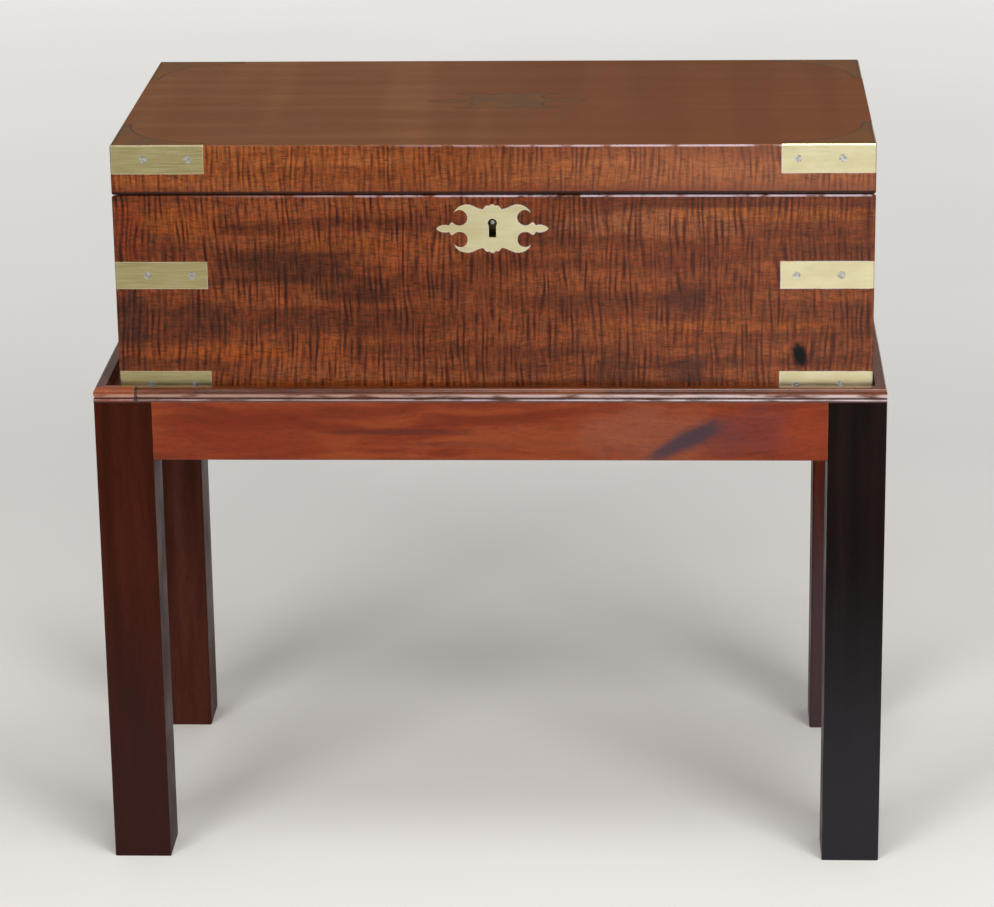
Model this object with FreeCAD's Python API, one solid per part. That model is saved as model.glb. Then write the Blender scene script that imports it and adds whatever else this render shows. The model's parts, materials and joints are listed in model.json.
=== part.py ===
"""A brass-bound campaign writing box standing loose on a four-legged mahogany stand.

Millimetres, +Z up, +X to the right of someone facing the lock, the lock faces -Y.
The origin is on the floor under the middle of the stand.
"""
import FreeCAD, Part
import math
import os

os.makedirs("parts", exist_ok=True)
V = FreeCAD.Vector

# Box carcase
box_width = 530.0
box_depth = 273.0
box_height = 182.8
box_shift = 4.0
box_seat_gap = 0.2
wall = 12.0
lid_front_height = 35.5
seam_fall = 55.8
seam_gap = 0.6
arris = 0.9
bottom_thickness = 9.0
bottom_rebate = 6.0
board_play = 0.2

# Stand: made for the box, with room inside its rim at the ends and at the front and back
rim_end_play = 6.0
rim_face_play = 2.5
stand_height = 349.0
leg_side = 41.0
leg_arris = 1.2
rail_height = 43.0
rail_thickness = 22.0
rail_arris = 1.0
tenon_length = 22.0
tenon_thickness = 8.0
tenon_setback = 7.0
tenon_shoulder = 6.0
mortise_glue_room = 1.0
moulding_width = 8.0
moulding_height = 10.0
moulding_fillet_height = 2.2
moulding_quirk_depth = 0.9
moulding_quirk_height = 0.7
moulding_nose_reach = 4.2
nose_rise_share = 0.68
nose_foot_depth_share = 0.25
nose_foot_rise_share = 0.4
patch_length = 29.0
patch_skew = 2.2
patch_joint = 0.3
brace_leg_length = 62.0
brace_height = 22.0
brace_drop = 6.0
brace_screw_length = 40.0
brace_screw_radius = 2.2
brace_head_radius = 4.0
brace_head_height = 2.4

# Interior
tray_well_width = 62.0
partition_thickness = 8.0
shelf_drop = 65.3
shelf_thickness = 6.0
inkwell_bay = 48.0
inkwell_wall = 6.0
inkwell_wall_drop = 10.0
tray_height_above_shelf = 22.0
tray_depth = 18.0
tray_groove_width = 50.0
tray_groove_depth = 12.0
tray_end = 8.0
tray_play = 0.4
bearer_width = 6.0
inkwell_side = 42.0
inkwell_height = 36.0
inkwell_bore_radius = 15.0
inkwell_floor = 6.0
inkwell_corner = 3.0
cap_plug_play = 0.3
cap_plug_depth = 4.0
cap_flange_radius = 18.0
cap_flange_height = 2.5
cap_knob_radius = 8.0
cap_knob_height = 4.0
writing_drop = 0.5
writing_thickness = 7.0
writing_play = 0.4
writing_border = 20.0
leather_thickness = 0.9
ledge_width = 7.0
ledge_height = 8.0

# Brass binding
brass_thickness = 1.5
strap_arm = 65.0
strap_height = 19.5
middle_strap_drop = 57.8
corner_strap_height = 20.5
spandrel_tip = 7.5
strap_screw_near = 23.0
strap_screw_far = 54.0
strap_head_radius = 2.7
strap_head_height = 1.3
strap_screw_radius = 1.3
strap_screw_length = 9.0

# Escutcheon and cartouche
escutcheon_half_length = 39.0
escutcheon_half_height = 17.3
escutcheon_drop = 24.0
cartouche_scale = 1.5
cartouche_shift = 5.5
cartouche_turn = 1.5
keyhole_radius = 3.3
keyhole_rise = 3.9
keyhole_slot_width = 5.1
keyhole_slot_drop = 6.3

# Lock
lock_case_width = 62.0
lock_case_height = 38.0
lock_case_depth = 7.6
lock_plate = 1.0
selvedge_length = 78.0
selvedge_thickness = 1.6
selvedge_margin = 3.2
drill_pin_radius = 1.4
staple_spacing = 32.0
staple_length = 2.5
staple_width = 3.4
staple_drop = 7.0
staple_eye_width = 2.0
staple_eye_height = 3.0
staple_eye_floor = 1.6
staple_slot_play = 0.5
staple_sweep = 1.6
bolt_travel = 4.5
bolt_thickness = 1.3
bolt_height = 3.4
bolt_clearance = 0.7
bolt_post_length = 3.0
bolt_finger_height = 2.2
bolt_finger_gap = 0.6
bolt_talon_width = 9.0
bolt_talon_drop = 3.0
bolt_notch_width = 3.5
bolt_notch_depth = 2.0

# Butt hinges
hinge_spacing = 330.0
hinge_length = 60.0
hinge_leaf_width = 10.5
hinge_leaf_thickness = 1.6
hinge_knuckle_radius = 2.8
hinge_pin_radius = 1.3
hinge_pin_play = 0.05
hinge_play = 0.3
hinge_offset = 0.3
knuckle_count = 3
hinge_screw_spacing = 40.0
small_head_radius = 1.9
small_head_height = 1.1
small_screw_radius = 0.9
small_screw_length = 7.0

# Side handles
handle_drop = 57.4
handle_plate_length = 112.0
handle_plate_height = 46.0
handle_plate_corner = 9.0
pan_length = 76.0
pan_height = 27.0
pan_depth = 8.4
pan_wall = 1.1
pan_corner = 3.5
bail_rod_radius = 2.7
bail_width = 66.0
bail_drop = 18.0
bail_bend_radius = 7.0
bail_pivot_rise = 8.5
bail_pivot_depth = 4.4
bail_boss_radius = 3.6
bail_boss_length = 6.0
bail_pin_radius = 1.5
bail_pin_play = 0.05
bail_pin_end_play = 0.4
plate_screw_inset = 9.0

# Screws are drawn many-sided, with few faces each because there are so many. Small bends and the
# ornament's arcs are drawn in straight steps, which leave an arc by no more than the sag
screw_sides = 6
barrel_sides = 12
bend_steps = 3
cap_sides = 16
ornament_sag = 0.12

# One overrun for every cut, and how near two places count as one
over = 5.0
same_place = 0.01

# Shares of the ornament's half length and half height, from the crest round to the finial.
# Each row is a point that the stretch's arc passes through, or None where it is straight, and its end.
crest_top_shares = (0.0, 1.0)
ornament_shares = [
    (None, (0.040, 0.965)),
    (None, (0.052, 0.915)),
    ((0.092, 0.945), (0.136, 0.870)),
    (None, (0.168, 0.780)),
    ((0.262, 0.842), (0.350, 0.935)),
    ((0.520, 0.972), (0.684, 0.659)),
    ((0.636, 0.752), (0.560, 0.780)),
    ((0.438, 0.440), (0.566, 0.126)),
    ((0.646, 0.150), (0.702, 0.238)),
    (None, (0.734, 0.246)),
    (None, (0.772, 0.118)),
    ((0.872, 0.150), (1.000, 0.0)),
]

stand_width = box_width + 2 * (rim_end_play + moulding_width)
stand_depth = box_depth + 2 * (rim_face_play + moulding_width)
seam_front_height = box_height - lid_front_height
seam_tangent = seam_fall / box_depth
seam_slope = math.degrees(math.atan(seam_tangent))
shelf_height = seam_front_height - shelf_drop
middle_strap_height = seam_front_height - middle_strap_drop
handle_height = seam_front_height - seam_fall / 2 - handle_drop
half_width = box_width / 2
half_depth = box_depth / 2
inner_half_width = half_width - wall
inner_half_depth = half_depth - wall
partition_front = -inner_half_depth + tray_well_width
partition_back = partition_front + partition_thickness
SIDES = (-1, 1)

nodes = {}


def slab(x, y, z):
    """A box between two values along each axis."""
    return Part.makeBox(x[1] - x[0], y[1] - y[0], z[1] - z[0], V(x[0], y[0], z[0]))


def prism(points, height, base=0.0):
    """An upright prism over plan points."""
    corners = [V(px, py, base) for px, py in points]
    return Part.Face(Part.makePolygon(corners + corners[:1])).extrude(V(0, 0, height))


def fuse(shapes):
    whole = shapes[0].multiFuse(shapes[1:]) if len(shapes) > 1 else shapes[0]
    return whole.removeSplitter()


def group(shapes):
    return Part.makeCompound([s for shape in shapes for s in shape.Solids])


def edges_at(shape, x, y):
    """The upright edges of a shape that stand at one place in plan."""
    found = []
    for edge in shape.Edges:
        ends = [v.Point for v in edge.Vertexes]
        if len(ends) == 2 and all(abs(p.x - x) < same_place and abs(p.y - y) < same_place for p in ends):
            found.append(edge)
    return found


def seam_height(y):
    """Height of the middle of the seam above the underside of the box."""
    return seam_front_height - seam_tangent * (y + half_depth)


def along_seam(low, high):
    """The layer between two distances from the seam, measured square to it."""
    reach = half_width + over
    layer = slab((-reach, reach), (-half_depth - box_height, half_depth + box_height),
                 (seam_front_height + low, seam_front_height + high))
    layer.rotate(V(0, -half_depth, seam_front_height), V(1, 0, 0), -seam_slope)
    return layer


def mitre_wedge(width, depth, thickness, side, base, height):
    """The plan region of one wall between its two 45 degree mitres."""
    outer_x, outer_y = width / 2 + over, depth / 2 + over
    inner_x, inner_y = width / 2 - thickness, depth / 2 - thickness
    corners = {
        "front": [(-outer_x, -outer_y), (outer_x, -outer_y), (inner_x, -inner_y), (-inner_x, -inner_y)],
        "back": [(-outer_x, outer_y), (outer_x, outer_y), (inner_x, inner_y), (-inner_x, inner_y)],
        "left": [(-outer_x, -outer_y), (-outer_x, outer_y), (-inner_x, inner_y), (-inner_x, -inner_y)],
        "right": [(outer_x, -outer_y), (outer_x, outer_y), (inner_x, inner_y), (inner_x, -inner_y)],
    }
    return prism(corners[side], height, base)


def eased_plate(length, height, corner, thickness, steps):
    """A plate in the YZ plane, centred, from x = 0 towards +X, each corner turned in some straight steps."""
    points = []
    for quarter, (sy, sz) in enumerate(((1, 1), (-1, 1), (-1, -1), (1, -1))):
        for step in range(steps + 1):
            angle = math.pi / 2 * (quarter + step / steps)
            points.append(V(0, sy * (length / 2 - corner) + corner * math.cos(angle),
                            sz * (height / 2 - corner) + corner * math.sin(angle)))
    return Part.Face(Part.makePolygon(points + points[:1])).extrude(V(thickness, 0, 0))


def skin(rings):
    """A closed solid of flat faces through rings with as many corners each; the last may be a point."""
    count = len(rings[0])
    faces = [Part.Face(Part.makePolygon(ring + ring[:1])) for ring in (rings[0], rings[-1]) if len(ring) > 1]
    for low, high in zip(rings, rings[1:]):
        for n in range(count):
            m = (n + 1) % count
            side = [low[n], low[m], high[m], high[n]] if len(high) > 1 else [low[n], low[m], high[0]]
            faces.append(Part.Face(Part.makePolygon(side + side[:1])))
    solid = Part.Solid(Part.Shell(faces))
    if solid.Volume < 0:
        solid.reverse()
    return solid


def ring_at(radius, sides, z):
    """The corners of a regular outline about the Z axis, with flats facing X and Y."""
    turn = 2 * math.pi / sides
    return [V(radius * math.cos(turn * (n + 0.5)), radius * math.sin(turn * (n + 0.5)), z)
            for n in range(sides)]


def bar(radius, length, start, along, sides):
    """A many-sided bar whose corners lie on the radius."""
    solid = skin([ring_at(radius, sides, 0), ring_at(radius, sides, length)])
    solid.Placement = FreeCAD.Placement(start, FreeCAD.Rotation(V(0, 0, 1), along))
    return solid


def bore_bar(radius, length, start, along, sides):
    """The same round a hole: its flats lie on the radius, so that a round bar of that radius turns in it."""
    return bar(radius / math.cos(math.pi / sides), length, start, along, sides)


def wood_screw(point, inward, head_radius, head_height, radius, length):
    """A countersunk screw: its head's rim is at the point, and it tapers to a tip along inward."""
    screw = skin([ring_at(head_radius, screw_sides, 0), ring_at(radius, screw_sides, head_height),
                  [V(0, 0, length)]])
    screw.Placement = FreeCAD.Placement(point, FreeCAD.Rotation(V(0, 0, 1), inward))
    return screw


def strap_screw(point, inward):
    return wood_screw(point, inward, strap_head_radius, strap_head_height, strap_screw_radius,
                      strap_screw_length)


def small_screw(point, inward):
    return wood_screw(point, inward, small_head_radius, small_head_height, small_screw_radius,
                      small_screw_length)


def in_box_place(shape):
    """From the box's own frame, its underside at zero, to its place on the stand."""
    placed = shape.copy()
    placed.translate(V(box_shift, 0, stand_height + box_seat_gap))
    return placed


# Stand: legs and rails
def rail(length, thickness_from, side):
    """A rail along X with its outer face at y = 0, its tenons set back from that face."""
    shoulder = length / 2 - leg_side
    low = stand_height - rail_height
    body = slab((-shoulder, shoulder), (0, rail_thickness), (low, stand_height))
    lower = [e for e in body.Edges if e.BoundBox.ZMax < low + rail_arris and e.BoundBox.XLength > leg_side]
    body = body.makeChamfer(rail_arris, lower)
    tenon = slab((-shoulder - tenon_length, shoulder + tenon_length),
                 (tenon_setback, tenon_setback + tenon_thickness),
                 (low + tenon_shoulder, stand_height - tenon_shoulder))
    whole = body.fuse(tenon).removeSplitter()
    whole.rotate(V(0, 0, 0), V(0, 0, 1), side)
    whole.translate(thickness_from)
    return whole


def mortise_cut(length, thickness_from, side):
    """The tenons' places, longer than the tenons by the glue room."""
    reach = length / 2 - leg_side + tenon_length + mortise_glue_room
    low = stand_height - rail_height
    cut = slab((-reach, reach), (tenon_setback, tenon_setback + tenon_thickness),
               (low + tenon_shoulder, stand_height - tenon_shoulder))
    cut.rotate(V(0, 0, 0), V(0, 0, 1), side)
    cut.translate(thickness_from)
    return cut


rail_places = {
    "rail_front": (stand_width, V(0, -stand_depth / 2, 0), 0),
    "rail_right": (stand_depth, V(stand_width / 2, 0, 0), 90),
    "rail_back": (stand_width, V(0, stand_depth / 2, 0), 180),
    "rail_left": (stand_depth, V(-stand_width / 2, 0, 0), 270),
}
mortises = []
for name, (length, origin, turn) in rail_places.items():
    nodes[name] = rail(length, origin, turn)
    mortises.append(mortise_cut(length, origin, turn))

for x_name, sx in (("left", -1), ("right", 1)):
    for y_name, sy in (("front", -1), ("back", 1)):
        outer = V(sx * stand_width / 2, sy * stand_depth / 2, 0)
        inner = V(outer.x - sx * leg_side, outer.y - sy * leg_side, 0)
        leg = slab(sorted((outer.x, inner.x)), sorted((outer.y, inner.y)), (0, stand_height))
        leg = leg.makeChamfer(leg_arris, edges_at(leg, outer.x, outer.y) + edges_at(leg, inner.x, inner.y))
        nodes["leg_%s_%s" % (y_name, x_name)] = leg.cut(mortises[0].multiFuse(mortises[1:]))


# Stand: rim moulding, a bullnose over a quirk and a small square fillet
def moulding_profile(length):
    """The moulding along X, its outer face at y = 0 and its underside at z = 0."""
    half = length / 2 + over
    quirk_top = moulding_fillet_height + moulding_quirk_height
    nose_low = V(-half, moulding_quirk_depth, quirk_top)
    nose_front = V(-half, 0, (quirk_top + moulding_height) / 2)
    nose_top = V(-half, moulding_nose_reach, moulding_height)
    nose_mid = V(-half, moulding_quirk_depth,
                 nose_front.z + (moulding_height - nose_front.z) * nose_rise_share)
    low_mid = V(-half, moulding_quirk_depth * nose_foot_depth_share,
                nose_low.z + (nose_front.z - nose_low.z) * nose_foot_rise_share)
    outline = [
        Part.LineSegment(V(-half, 0, 0), V(-half, 0, moulding_fillet_height)).toShape(),
        Part.LineSegment(V(-half, 0, moulding_fillet_height),
                         V(-half, moulding_quirk_depth, moulding_fillet_height)).toShape(),
        Part.LineSegment(V(-half, moulding_quirk_depth, moulding_fillet_height), nose_low).toShape(),
        Part.Arc(nose_low, low_mid, nose_front).toShape(),
        Part.Arc(nose_front, nose_mid, nose_top).toShape(),
        Part.LineSegment(nose_top, V(-half, moulding_width, moulding_height)).toShape(),
        Part.LineSegment(V(-half, moulding_width, moulding_height), V(-half, moulding_width, 0)).toShape(),
        Part.LineSegment(V(-half, moulding_width, 0), V(-half, 0, 0)).toShape(),
    ]
    return Part.Face(Part.Wire(outline)).extrude(V(2 * half, 0, 0))


def rim_moulding(side):
    length, origin, turn = rail_places["rail_" + side]
    strip = moulding_profile(length)
    strip.rotate(V(0, 0, 0), V(0, 0, 1), turn)
    strip.translate(V(origin.x, origin.y, stand_height))
    region = mitre_wedge(stand_width, stand_depth, moulding_width, side, stand_height - over,
                         moulding_height + 2 * over)
    return strip.common(region)


def patch_region(joint):
    """Everything left of the oblique joint in the front moulding."""
    left = -stand_width / 2 - over
    foot = -stand_width / 2 + patch_length - patch_skew / 2 + joint
    points = [V(left, 0, 0), V(foot, 0, 0), V(foot + patch_skew, 0, moulding_height),
              V(left, 0, moulding_height)]
    face = Part.Face(Part.makePolygon(points + points[:1]))
    region = face.extrude(V(0, moulding_width + 2 * over, 0))
    region.translate(V(0, -stand_depth / 2 - over, stand_height))
    return region


for side in ("back", "left", "right"):
    nodes["moulding_" + side] = rim_moulding(side)
front_moulding = rim_moulding("front")
nodes["moulding_front"] = front_moulding.cut(patch_region(patch_joint))
nodes["moulding_front_patch"] = front_moulding.common(patch_region(0))

# Stand: corner braces behind the legs, one screw each
braces = []
brace_screws = []
for sx in SIDES:
    for sy in SIDES:
        far = rail_thickness + brace_leg_length
        plan = [(leg_side, rail_thickness), (far, rail_thickness), (rail_thickness, far),
                (rail_thickness, leg_side), (leg_side, leg_side)]
        placed = [(sx * (stand_width / 2 - px), sy * (stand_depth / 2 - py)) for px, py in plan]
        top = stand_height - brace_drop
        brace = prism(placed, brace_height, top - brace_height)
        middle = (rail_thickness + far) / 2
        seat = V(sx * (stand_width / 2 - middle), sy * (stand_depth / 2 - middle), top - brace_height / 2)
        inward = V(sx, sy, 0).normalize()
        screw = wood_screw(seat, inward, brace_head_radius, brace_head_height, brace_screw_radius,
                           brace_screw_length)
        brace_screws.append(screw)
        braces.append(brace.cut(screw))
        leg_name = "leg_%s_%s" % ("front" if sy < 0 else "back", "left" if sx < 0 else "right")
        nodes[leg_name] = nodes[leg_name].cut(screw)
nodes["corner_braces"] = group(braces)
nodes["corner_brace_screws"] = group(brace_screws)

# Box carcase: one block with eased arrises sawn along the seam, then cut into walls at the mitres
carcase = slab((-half_width, half_width), (-half_depth, half_depth), (0, box_height))
body_block = carcase.common(along_seam(-box_height * 2, -seam_gap / 2))
body_block = body_block.makeChamfer(arris, body_block.Edges)
lid_block = carcase.common(along_seam(seam_gap / 2, box_height * 2))
lid_block = lid_block.makeChamfer(arris, lid_block.Edges)
body_hollow = slab((-inner_half_width, inner_half_width), (-inner_half_depth, inner_half_depth),
                   (-over, box_height + over))
bottom_half_width = inner_half_width + bottom_rebate
bottom_half_depth = inner_half_depth + bottom_rebate
bottom_rebate_cut = slab((-bottom_half_width, bottom_half_width), (-bottom_half_depth, bottom_half_depth),
                         (-over, bottom_thickness))
lid_hollow = slab((-inner_half_width, inner_half_width), (-inner_half_depth, inner_half_depth),
                  (-over, box_height - wall))


def rectangle(half_x, half_y, z):
    return [V(-half_x, -half_y, z), V(half_x, -half_y, z), V(half_x, half_y, z), V(-half_x, half_y, z)]


top_region = skin([rectangle(inner_half_width, inner_half_depth, box_height - wall),
                   rectangle(half_width + over, half_depth + over, box_height + over)])

body_walls = {}
lid_walls = {}
body_shell = body_block.cut(body_hollow).cut(bottom_rebate_cut)
lid_shell = lid_block.cut(lid_hollow).cut(top_region)
for side in ("front", "back", "left", "right"):
    region = mitre_wedge(box_width, box_depth, wall, side, -over, box_height + 2 * over)
    body_walls[side] = body_shell.common(region)
    lid_walls[side] = lid_shell.common(region)
lid_walls["top"] = lid_block.common(top_region)
nodes["bottom_board"] = slab((-bottom_half_width + board_play, bottom_half_width - board_play),
                             (-bottom_half_depth + board_play, bottom_half_depth - board_play),
                             (0, bottom_thickness))


# Brass straps, let in flush round the corners
def brass_core():
    inset = brass_thickness
    return slab((-half_width + inset, half_width - inset), (-half_depth + inset, half_depth - inset),
                (-over, box_height + over))


def corner_window(sx, sy, low, high):
    x = sorted((sx * (half_width - strap_arm), sx * (half_width + over)))
    y = sorted((sy * (half_depth - strap_arm), sy * (half_depth + over)))
    return slab(x, y, (low, high))


def strap_screws(sx, sy, height):
    """Two screws in the arm on the long wall and two in the arm on the short wall."""
    found = []
    for reach in (strap_screw_near, strap_screw_far):
        found.append(strap_screw(V(sx * (half_width - reach), sy * half_depth, height), V(0, -sy, 0)))
        found.append(strap_screw(V(sx * half_width, sy * (half_depth - reach), height), V(-sx, 0, 0)))
    return found


core = brass_core()
middle_straps = []
bottom_straps = []
body_screws = []
for sx in SIDES:
    window = corner_window(sx, -1, middle_strap_height - strap_height / 2,
                           middle_strap_height + strap_height / 2)
    screws = strap_screws(sx, -1, middle_strap_height)
    middle_straps.append(body_block.common(window).cut(core).cut(group(screws)))
    body_screws += screws
    for sy in SIDES:
        window = corner_window(sx, sy, -over, strap_height)
        screws = strap_screws(sx, sy, strap_height / 2)
        bottom_straps.append(body_block.common(window).cut(core).cut(group(screws)))
        body_screws += screws
nodes["middle_straps"] = group(middle_straps)
nodes["bottom_straps"] = group(bottom_straps)
nodes["body_strap_screws"] = group(body_screws)
body_brass = group([nodes["middle_straps"], nodes["bottom_straps"], nodes["body_strap_screws"]])

lid_screws = []
lid_core = slab((-half_width + brass_thickness, half_width - brass_thickness),
                (-half_depth + brass_thickness, half_depth - brass_thickness),
                (-over, box_height - brass_thickness))
spandrel_radius = strap_arm - spandrel_tip
for x_name, sx in (("left", -1), ("right", 1)):
    for y_name, sy in (("front", -1), ("back", 1)):
        window = corner_window(sx, sy, box_height - corner_strap_height, box_height + over)
        centre = V(sx * (half_width - strap_arm), sy * (half_depth - strap_arm), box_height - over)
        bite = Part.makeCylinder(spandrel_radius, 2 * over, centre)
        screws = strap_screws(sx, sy, box_height - corner_strap_height / 2)
        plate = lid_block.common(window).cut(lid_core).cut(bite).cut(group(screws))
        nodes["corner_plate_%s_%s" % (y_name, x_name)] = plate
        lid_screws += screws
nodes["lid_strap_screws"] = group(lid_screws)
lid_brass = group([nodes[n] for n in nodes if n.startswith("corner_plate")] + [nodes["lid_strap_screws"]])


# Escutcheon and cartouche: one quarter of the ornament, mirrored twice
def ornament(scale, thickness):
    """The ornament in the XZ plane, centred, its back at y = 0 and its face towards -Y."""
    size = V(escutcheon_half_length * scale, 0, escutcheon_half_height * scale)
    edges = []
    for mirror_x, mirror_z in ((1, 1), (1, -1), (-1, -1), (-1, 1)):
        def place(share):
            return V(size.x * share[0] * mirror_x, 0, size.z * share[1] * mirror_z)
        points = [place(crest_top_shares)]
        for through, end in ornament_shares:
            if through:
                arc = Part.Arc(points[-1], place(through), place(end)).toShape()
                points += arc.discretize(Deflection=ornament_sag * scale)[1:]
            else:
                points.append(place(end))
        edges += [Part.LineSegment(a, b).toShape() for a, b in zip(points, points[1:])]
    outline = Part.Wire(Part.sortEdges(edges)[0])
    return Part.Face(outline).extrude(V(0, -thickness, 0))


lock_top = seam_height(-inner_half_depth) - seam_gap / 2
escutcheon_height = seam_front_height - seam_gap / 2 - escutcheon_drop
key_round = V(0, -half_depth, escutcheon_height + keyhole_rise)


def keyhole(front, back):
    """A round hole over a slot, from one depth to another."""
    run = back - front
    hole = bar(keyhole_radius, run, V(0, front, key_round.z), V(0, 1, 0), barrel_sides)
    slot = slab((-keyhole_slot_width / 2, keyhole_slot_width / 2), (front, back),
                (escutcheon_height - keyhole_slot_drop, key_round.z))
    return hole.fuse(slot)


escutcheon = ornament(1, brass_thickness)
escutcheon.translate(V(0, -half_depth + brass_thickness, escutcheon_height))
key_path = keyhole(-half_depth - over, -inner_half_depth - lock_plate)
nodes["escutcheon"] = escutcheon.cut(key_path)
cartouche = ornament(cartouche_scale, brass_thickness)
cartouche.rotate(V(0, 0, 0), V(1, 0, 0), -90)
cartouche.rotate(V(0, 0, 0), V(0, 0, 1), cartouche_turn)
cartouche.translate(V(cartouche_shift, 0, box_height - brass_thickness))
nodes["cartouche"] = cartouche

# Lock: an open-topped case in the front wall, a slotted selvedge, a sliding bolt
case_back = -inner_half_depth
case_front = case_back - lock_case_depth
case_low = lock_top - lock_case_height
under_selvedge = along_seam(-box_height * 2, -seam_gap / 2 - selvedge_thickness)
case_x = (-lock_case_width / 2, lock_case_width / 2)
case = slab(case_x, (case_front, case_back), (case_low, box_height)).common(under_selvedge)
case_room = slab((case_x[0] + lock_plate, case_x[1] - lock_plate),
                 (case_front + lock_plate, case_back - lock_plate),
                 (case_low + lock_plate, box_height)).common(under_selvedge)
selvedge = along_seam(-seam_gap / 2 - selvedge_thickness, -seam_gap / 2).common(
    slab((-selvedge_length / 2, selvedge_length / 2), (-half_depth + selvedge_margin, case_back),
         (0, box_height)))
staple_middle = case_front + lock_plate + staple_slot_play + staple_width / 2
staple_bottom = lock_top - selvedge_thickness - staple_drop
staple_places = [s * staple_spacing / 2 for s in SIDES]
staple_slots = []
slot_half_length = staple_length / 2 + staple_slot_play
slot_y = (staple_middle - staple_width / 2 - staple_slot_play,
          staple_middle + staple_width / 2 + staple_slot_play + staple_sweep)
for x in staple_places:
    staple_slots.append(slab((x - slot_half_length, x + slot_half_length), slot_y,
                             (staple_bottom, box_height)))
drill_pin = bar(drill_pin_radius, lock_case_depth - lock_plate,
                V(0, case_front + lock_plate, key_round.z), V(0, 1, 0), screw_sides)
lock_solid = case.fuse(selvedge)
nodes["lock_case"] = fuse([lock_solid.cut(case_room).cut(group(staple_slots)).cut(key_path), drill_pin])

eye_middle = staple_bottom + staple_eye_floor + staple_eye_height / 2
bolt_top = staple_bottom - bolt_clearance
bolt_y = (staple_middle - bolt_thickness / 2, staple_middle + bolt_thickness / 2)
finger_reach = bolt_travel + bolt_finger_gap
bolt_parts = []
posts = []
for x in staple_places:
    tip = x - staple_length / 2 - bolt_finger_gap
    root = tip - finger_reach
    posts.append(root - bolt_post_length)
    bolt_parts.append(slab((root, tip), bolt_y,
                           (eye_middle - bolt_finger_height / 2, eye_middle + bolt_finger_height / 2)))
    bolt_parts.append(slab((root - bolt_post_length, root), bolt_y,
                           (bolt_top, eye_middle + bolt_finger_height / 2)))
bolt_parts.append(slab((posts[0], posts[1] + bolt_post_length), bolt_y, (bolt_top - bolt_height, bolt_top)))
bolt_parts.append(slab((-bolt_talon_width / 2, bolt_talon_width / 2), bolt_y,
                       (bolt_top - bolt_height - bolt_talon_drop, bolt_top)))
notch = slab((-bolt_notch_width / 2, bolt_notch_width / 2), (bolt_y[0] - over, bolt_y[1] + over),
             (bolt_top - bolt_height - bolt_talon_drop - over,
              bolt_top - bolt_height - bolt_talon_drop + bolt_notch_depth))
nodes["lock_bolt"] = fuse(bolt_parts).cut(notch)

link_leaf = along_seam(seam_gap / 2, seam_gap / 2 + selvedge_thickness).common(
    slab((-selvedge_length / 2, selvedge_length / 2), (-half_depth + selvedge_margin, case_back),
         (0, box_height)))
link_parts = [link_leaf]
for x in staple_places:
    staple = slab((x - staple_length / 2, x + staple_length / 2),
                  (staple_middle - staple_width / 2, staple_middle + staple_width / 2),
                  (staple_bottom, lock_top + seam_gap + selvedge_thickness / 2))
    eye = slab((x - over, x + over),
               (staple_middle - staple_eye_width / 2, staple_middle + staple_eye_width / 2),
               (staple_bottom + staple_eye_floor, staple_bottom + staple_eye_floor + staple_eye_height))
    link_parts.append(staple.cut(eye))
nodes["link_plate"] = fuse(link_parts)

# Small screws stand square to the seam, a distance in from the wall's outer face
seam_normal = V(0, math.sin(math.radians(seam_slope)), math.cos(math.radians(seam_slope)))


def seam_screw(x, y, upward):
    sign = 1 if upward else -1
    start = V(x, y, seam_height(y)) + seam_normal * (sign * seam_gap / 2)
    return small_screw(start, seam_normal * sign)


body_small = []
lid_small = []
selvedge_screw_x = (lock_case_width + selvedge_length) / 4
selvedge_screw_y = (case_back - half_depth + selvedge_margin) / 2
for s in SIDES:
    body_small.append(seam_screw(s * selvedge_screw_x, selvedge_screw_y, False))
    lid_small.append(seam_screw(s * selvedge_screw_x, selvedge_screw_y, True))

# Butt hinges on the back wall, their knuckles interleaved about one pin
hinge_y = half_depth + hinge_offset
hinge_z = seam_height(hinge_y)
knuckle = hinge_length / knuckle_count
leaf_y = (hinge_y - hinge_leaf_width, hinge_y)


def knuckles(shape, start, numbers, radius, spread):
    found = []
    for n in numbers:
        low = start + n * knuckle - spread
        found.append(shape(radius, knuckle + 2 * spread, V(low, hinge_y, hinge_z), V(1, 0, 0), barrel_sides))
    return found


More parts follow.
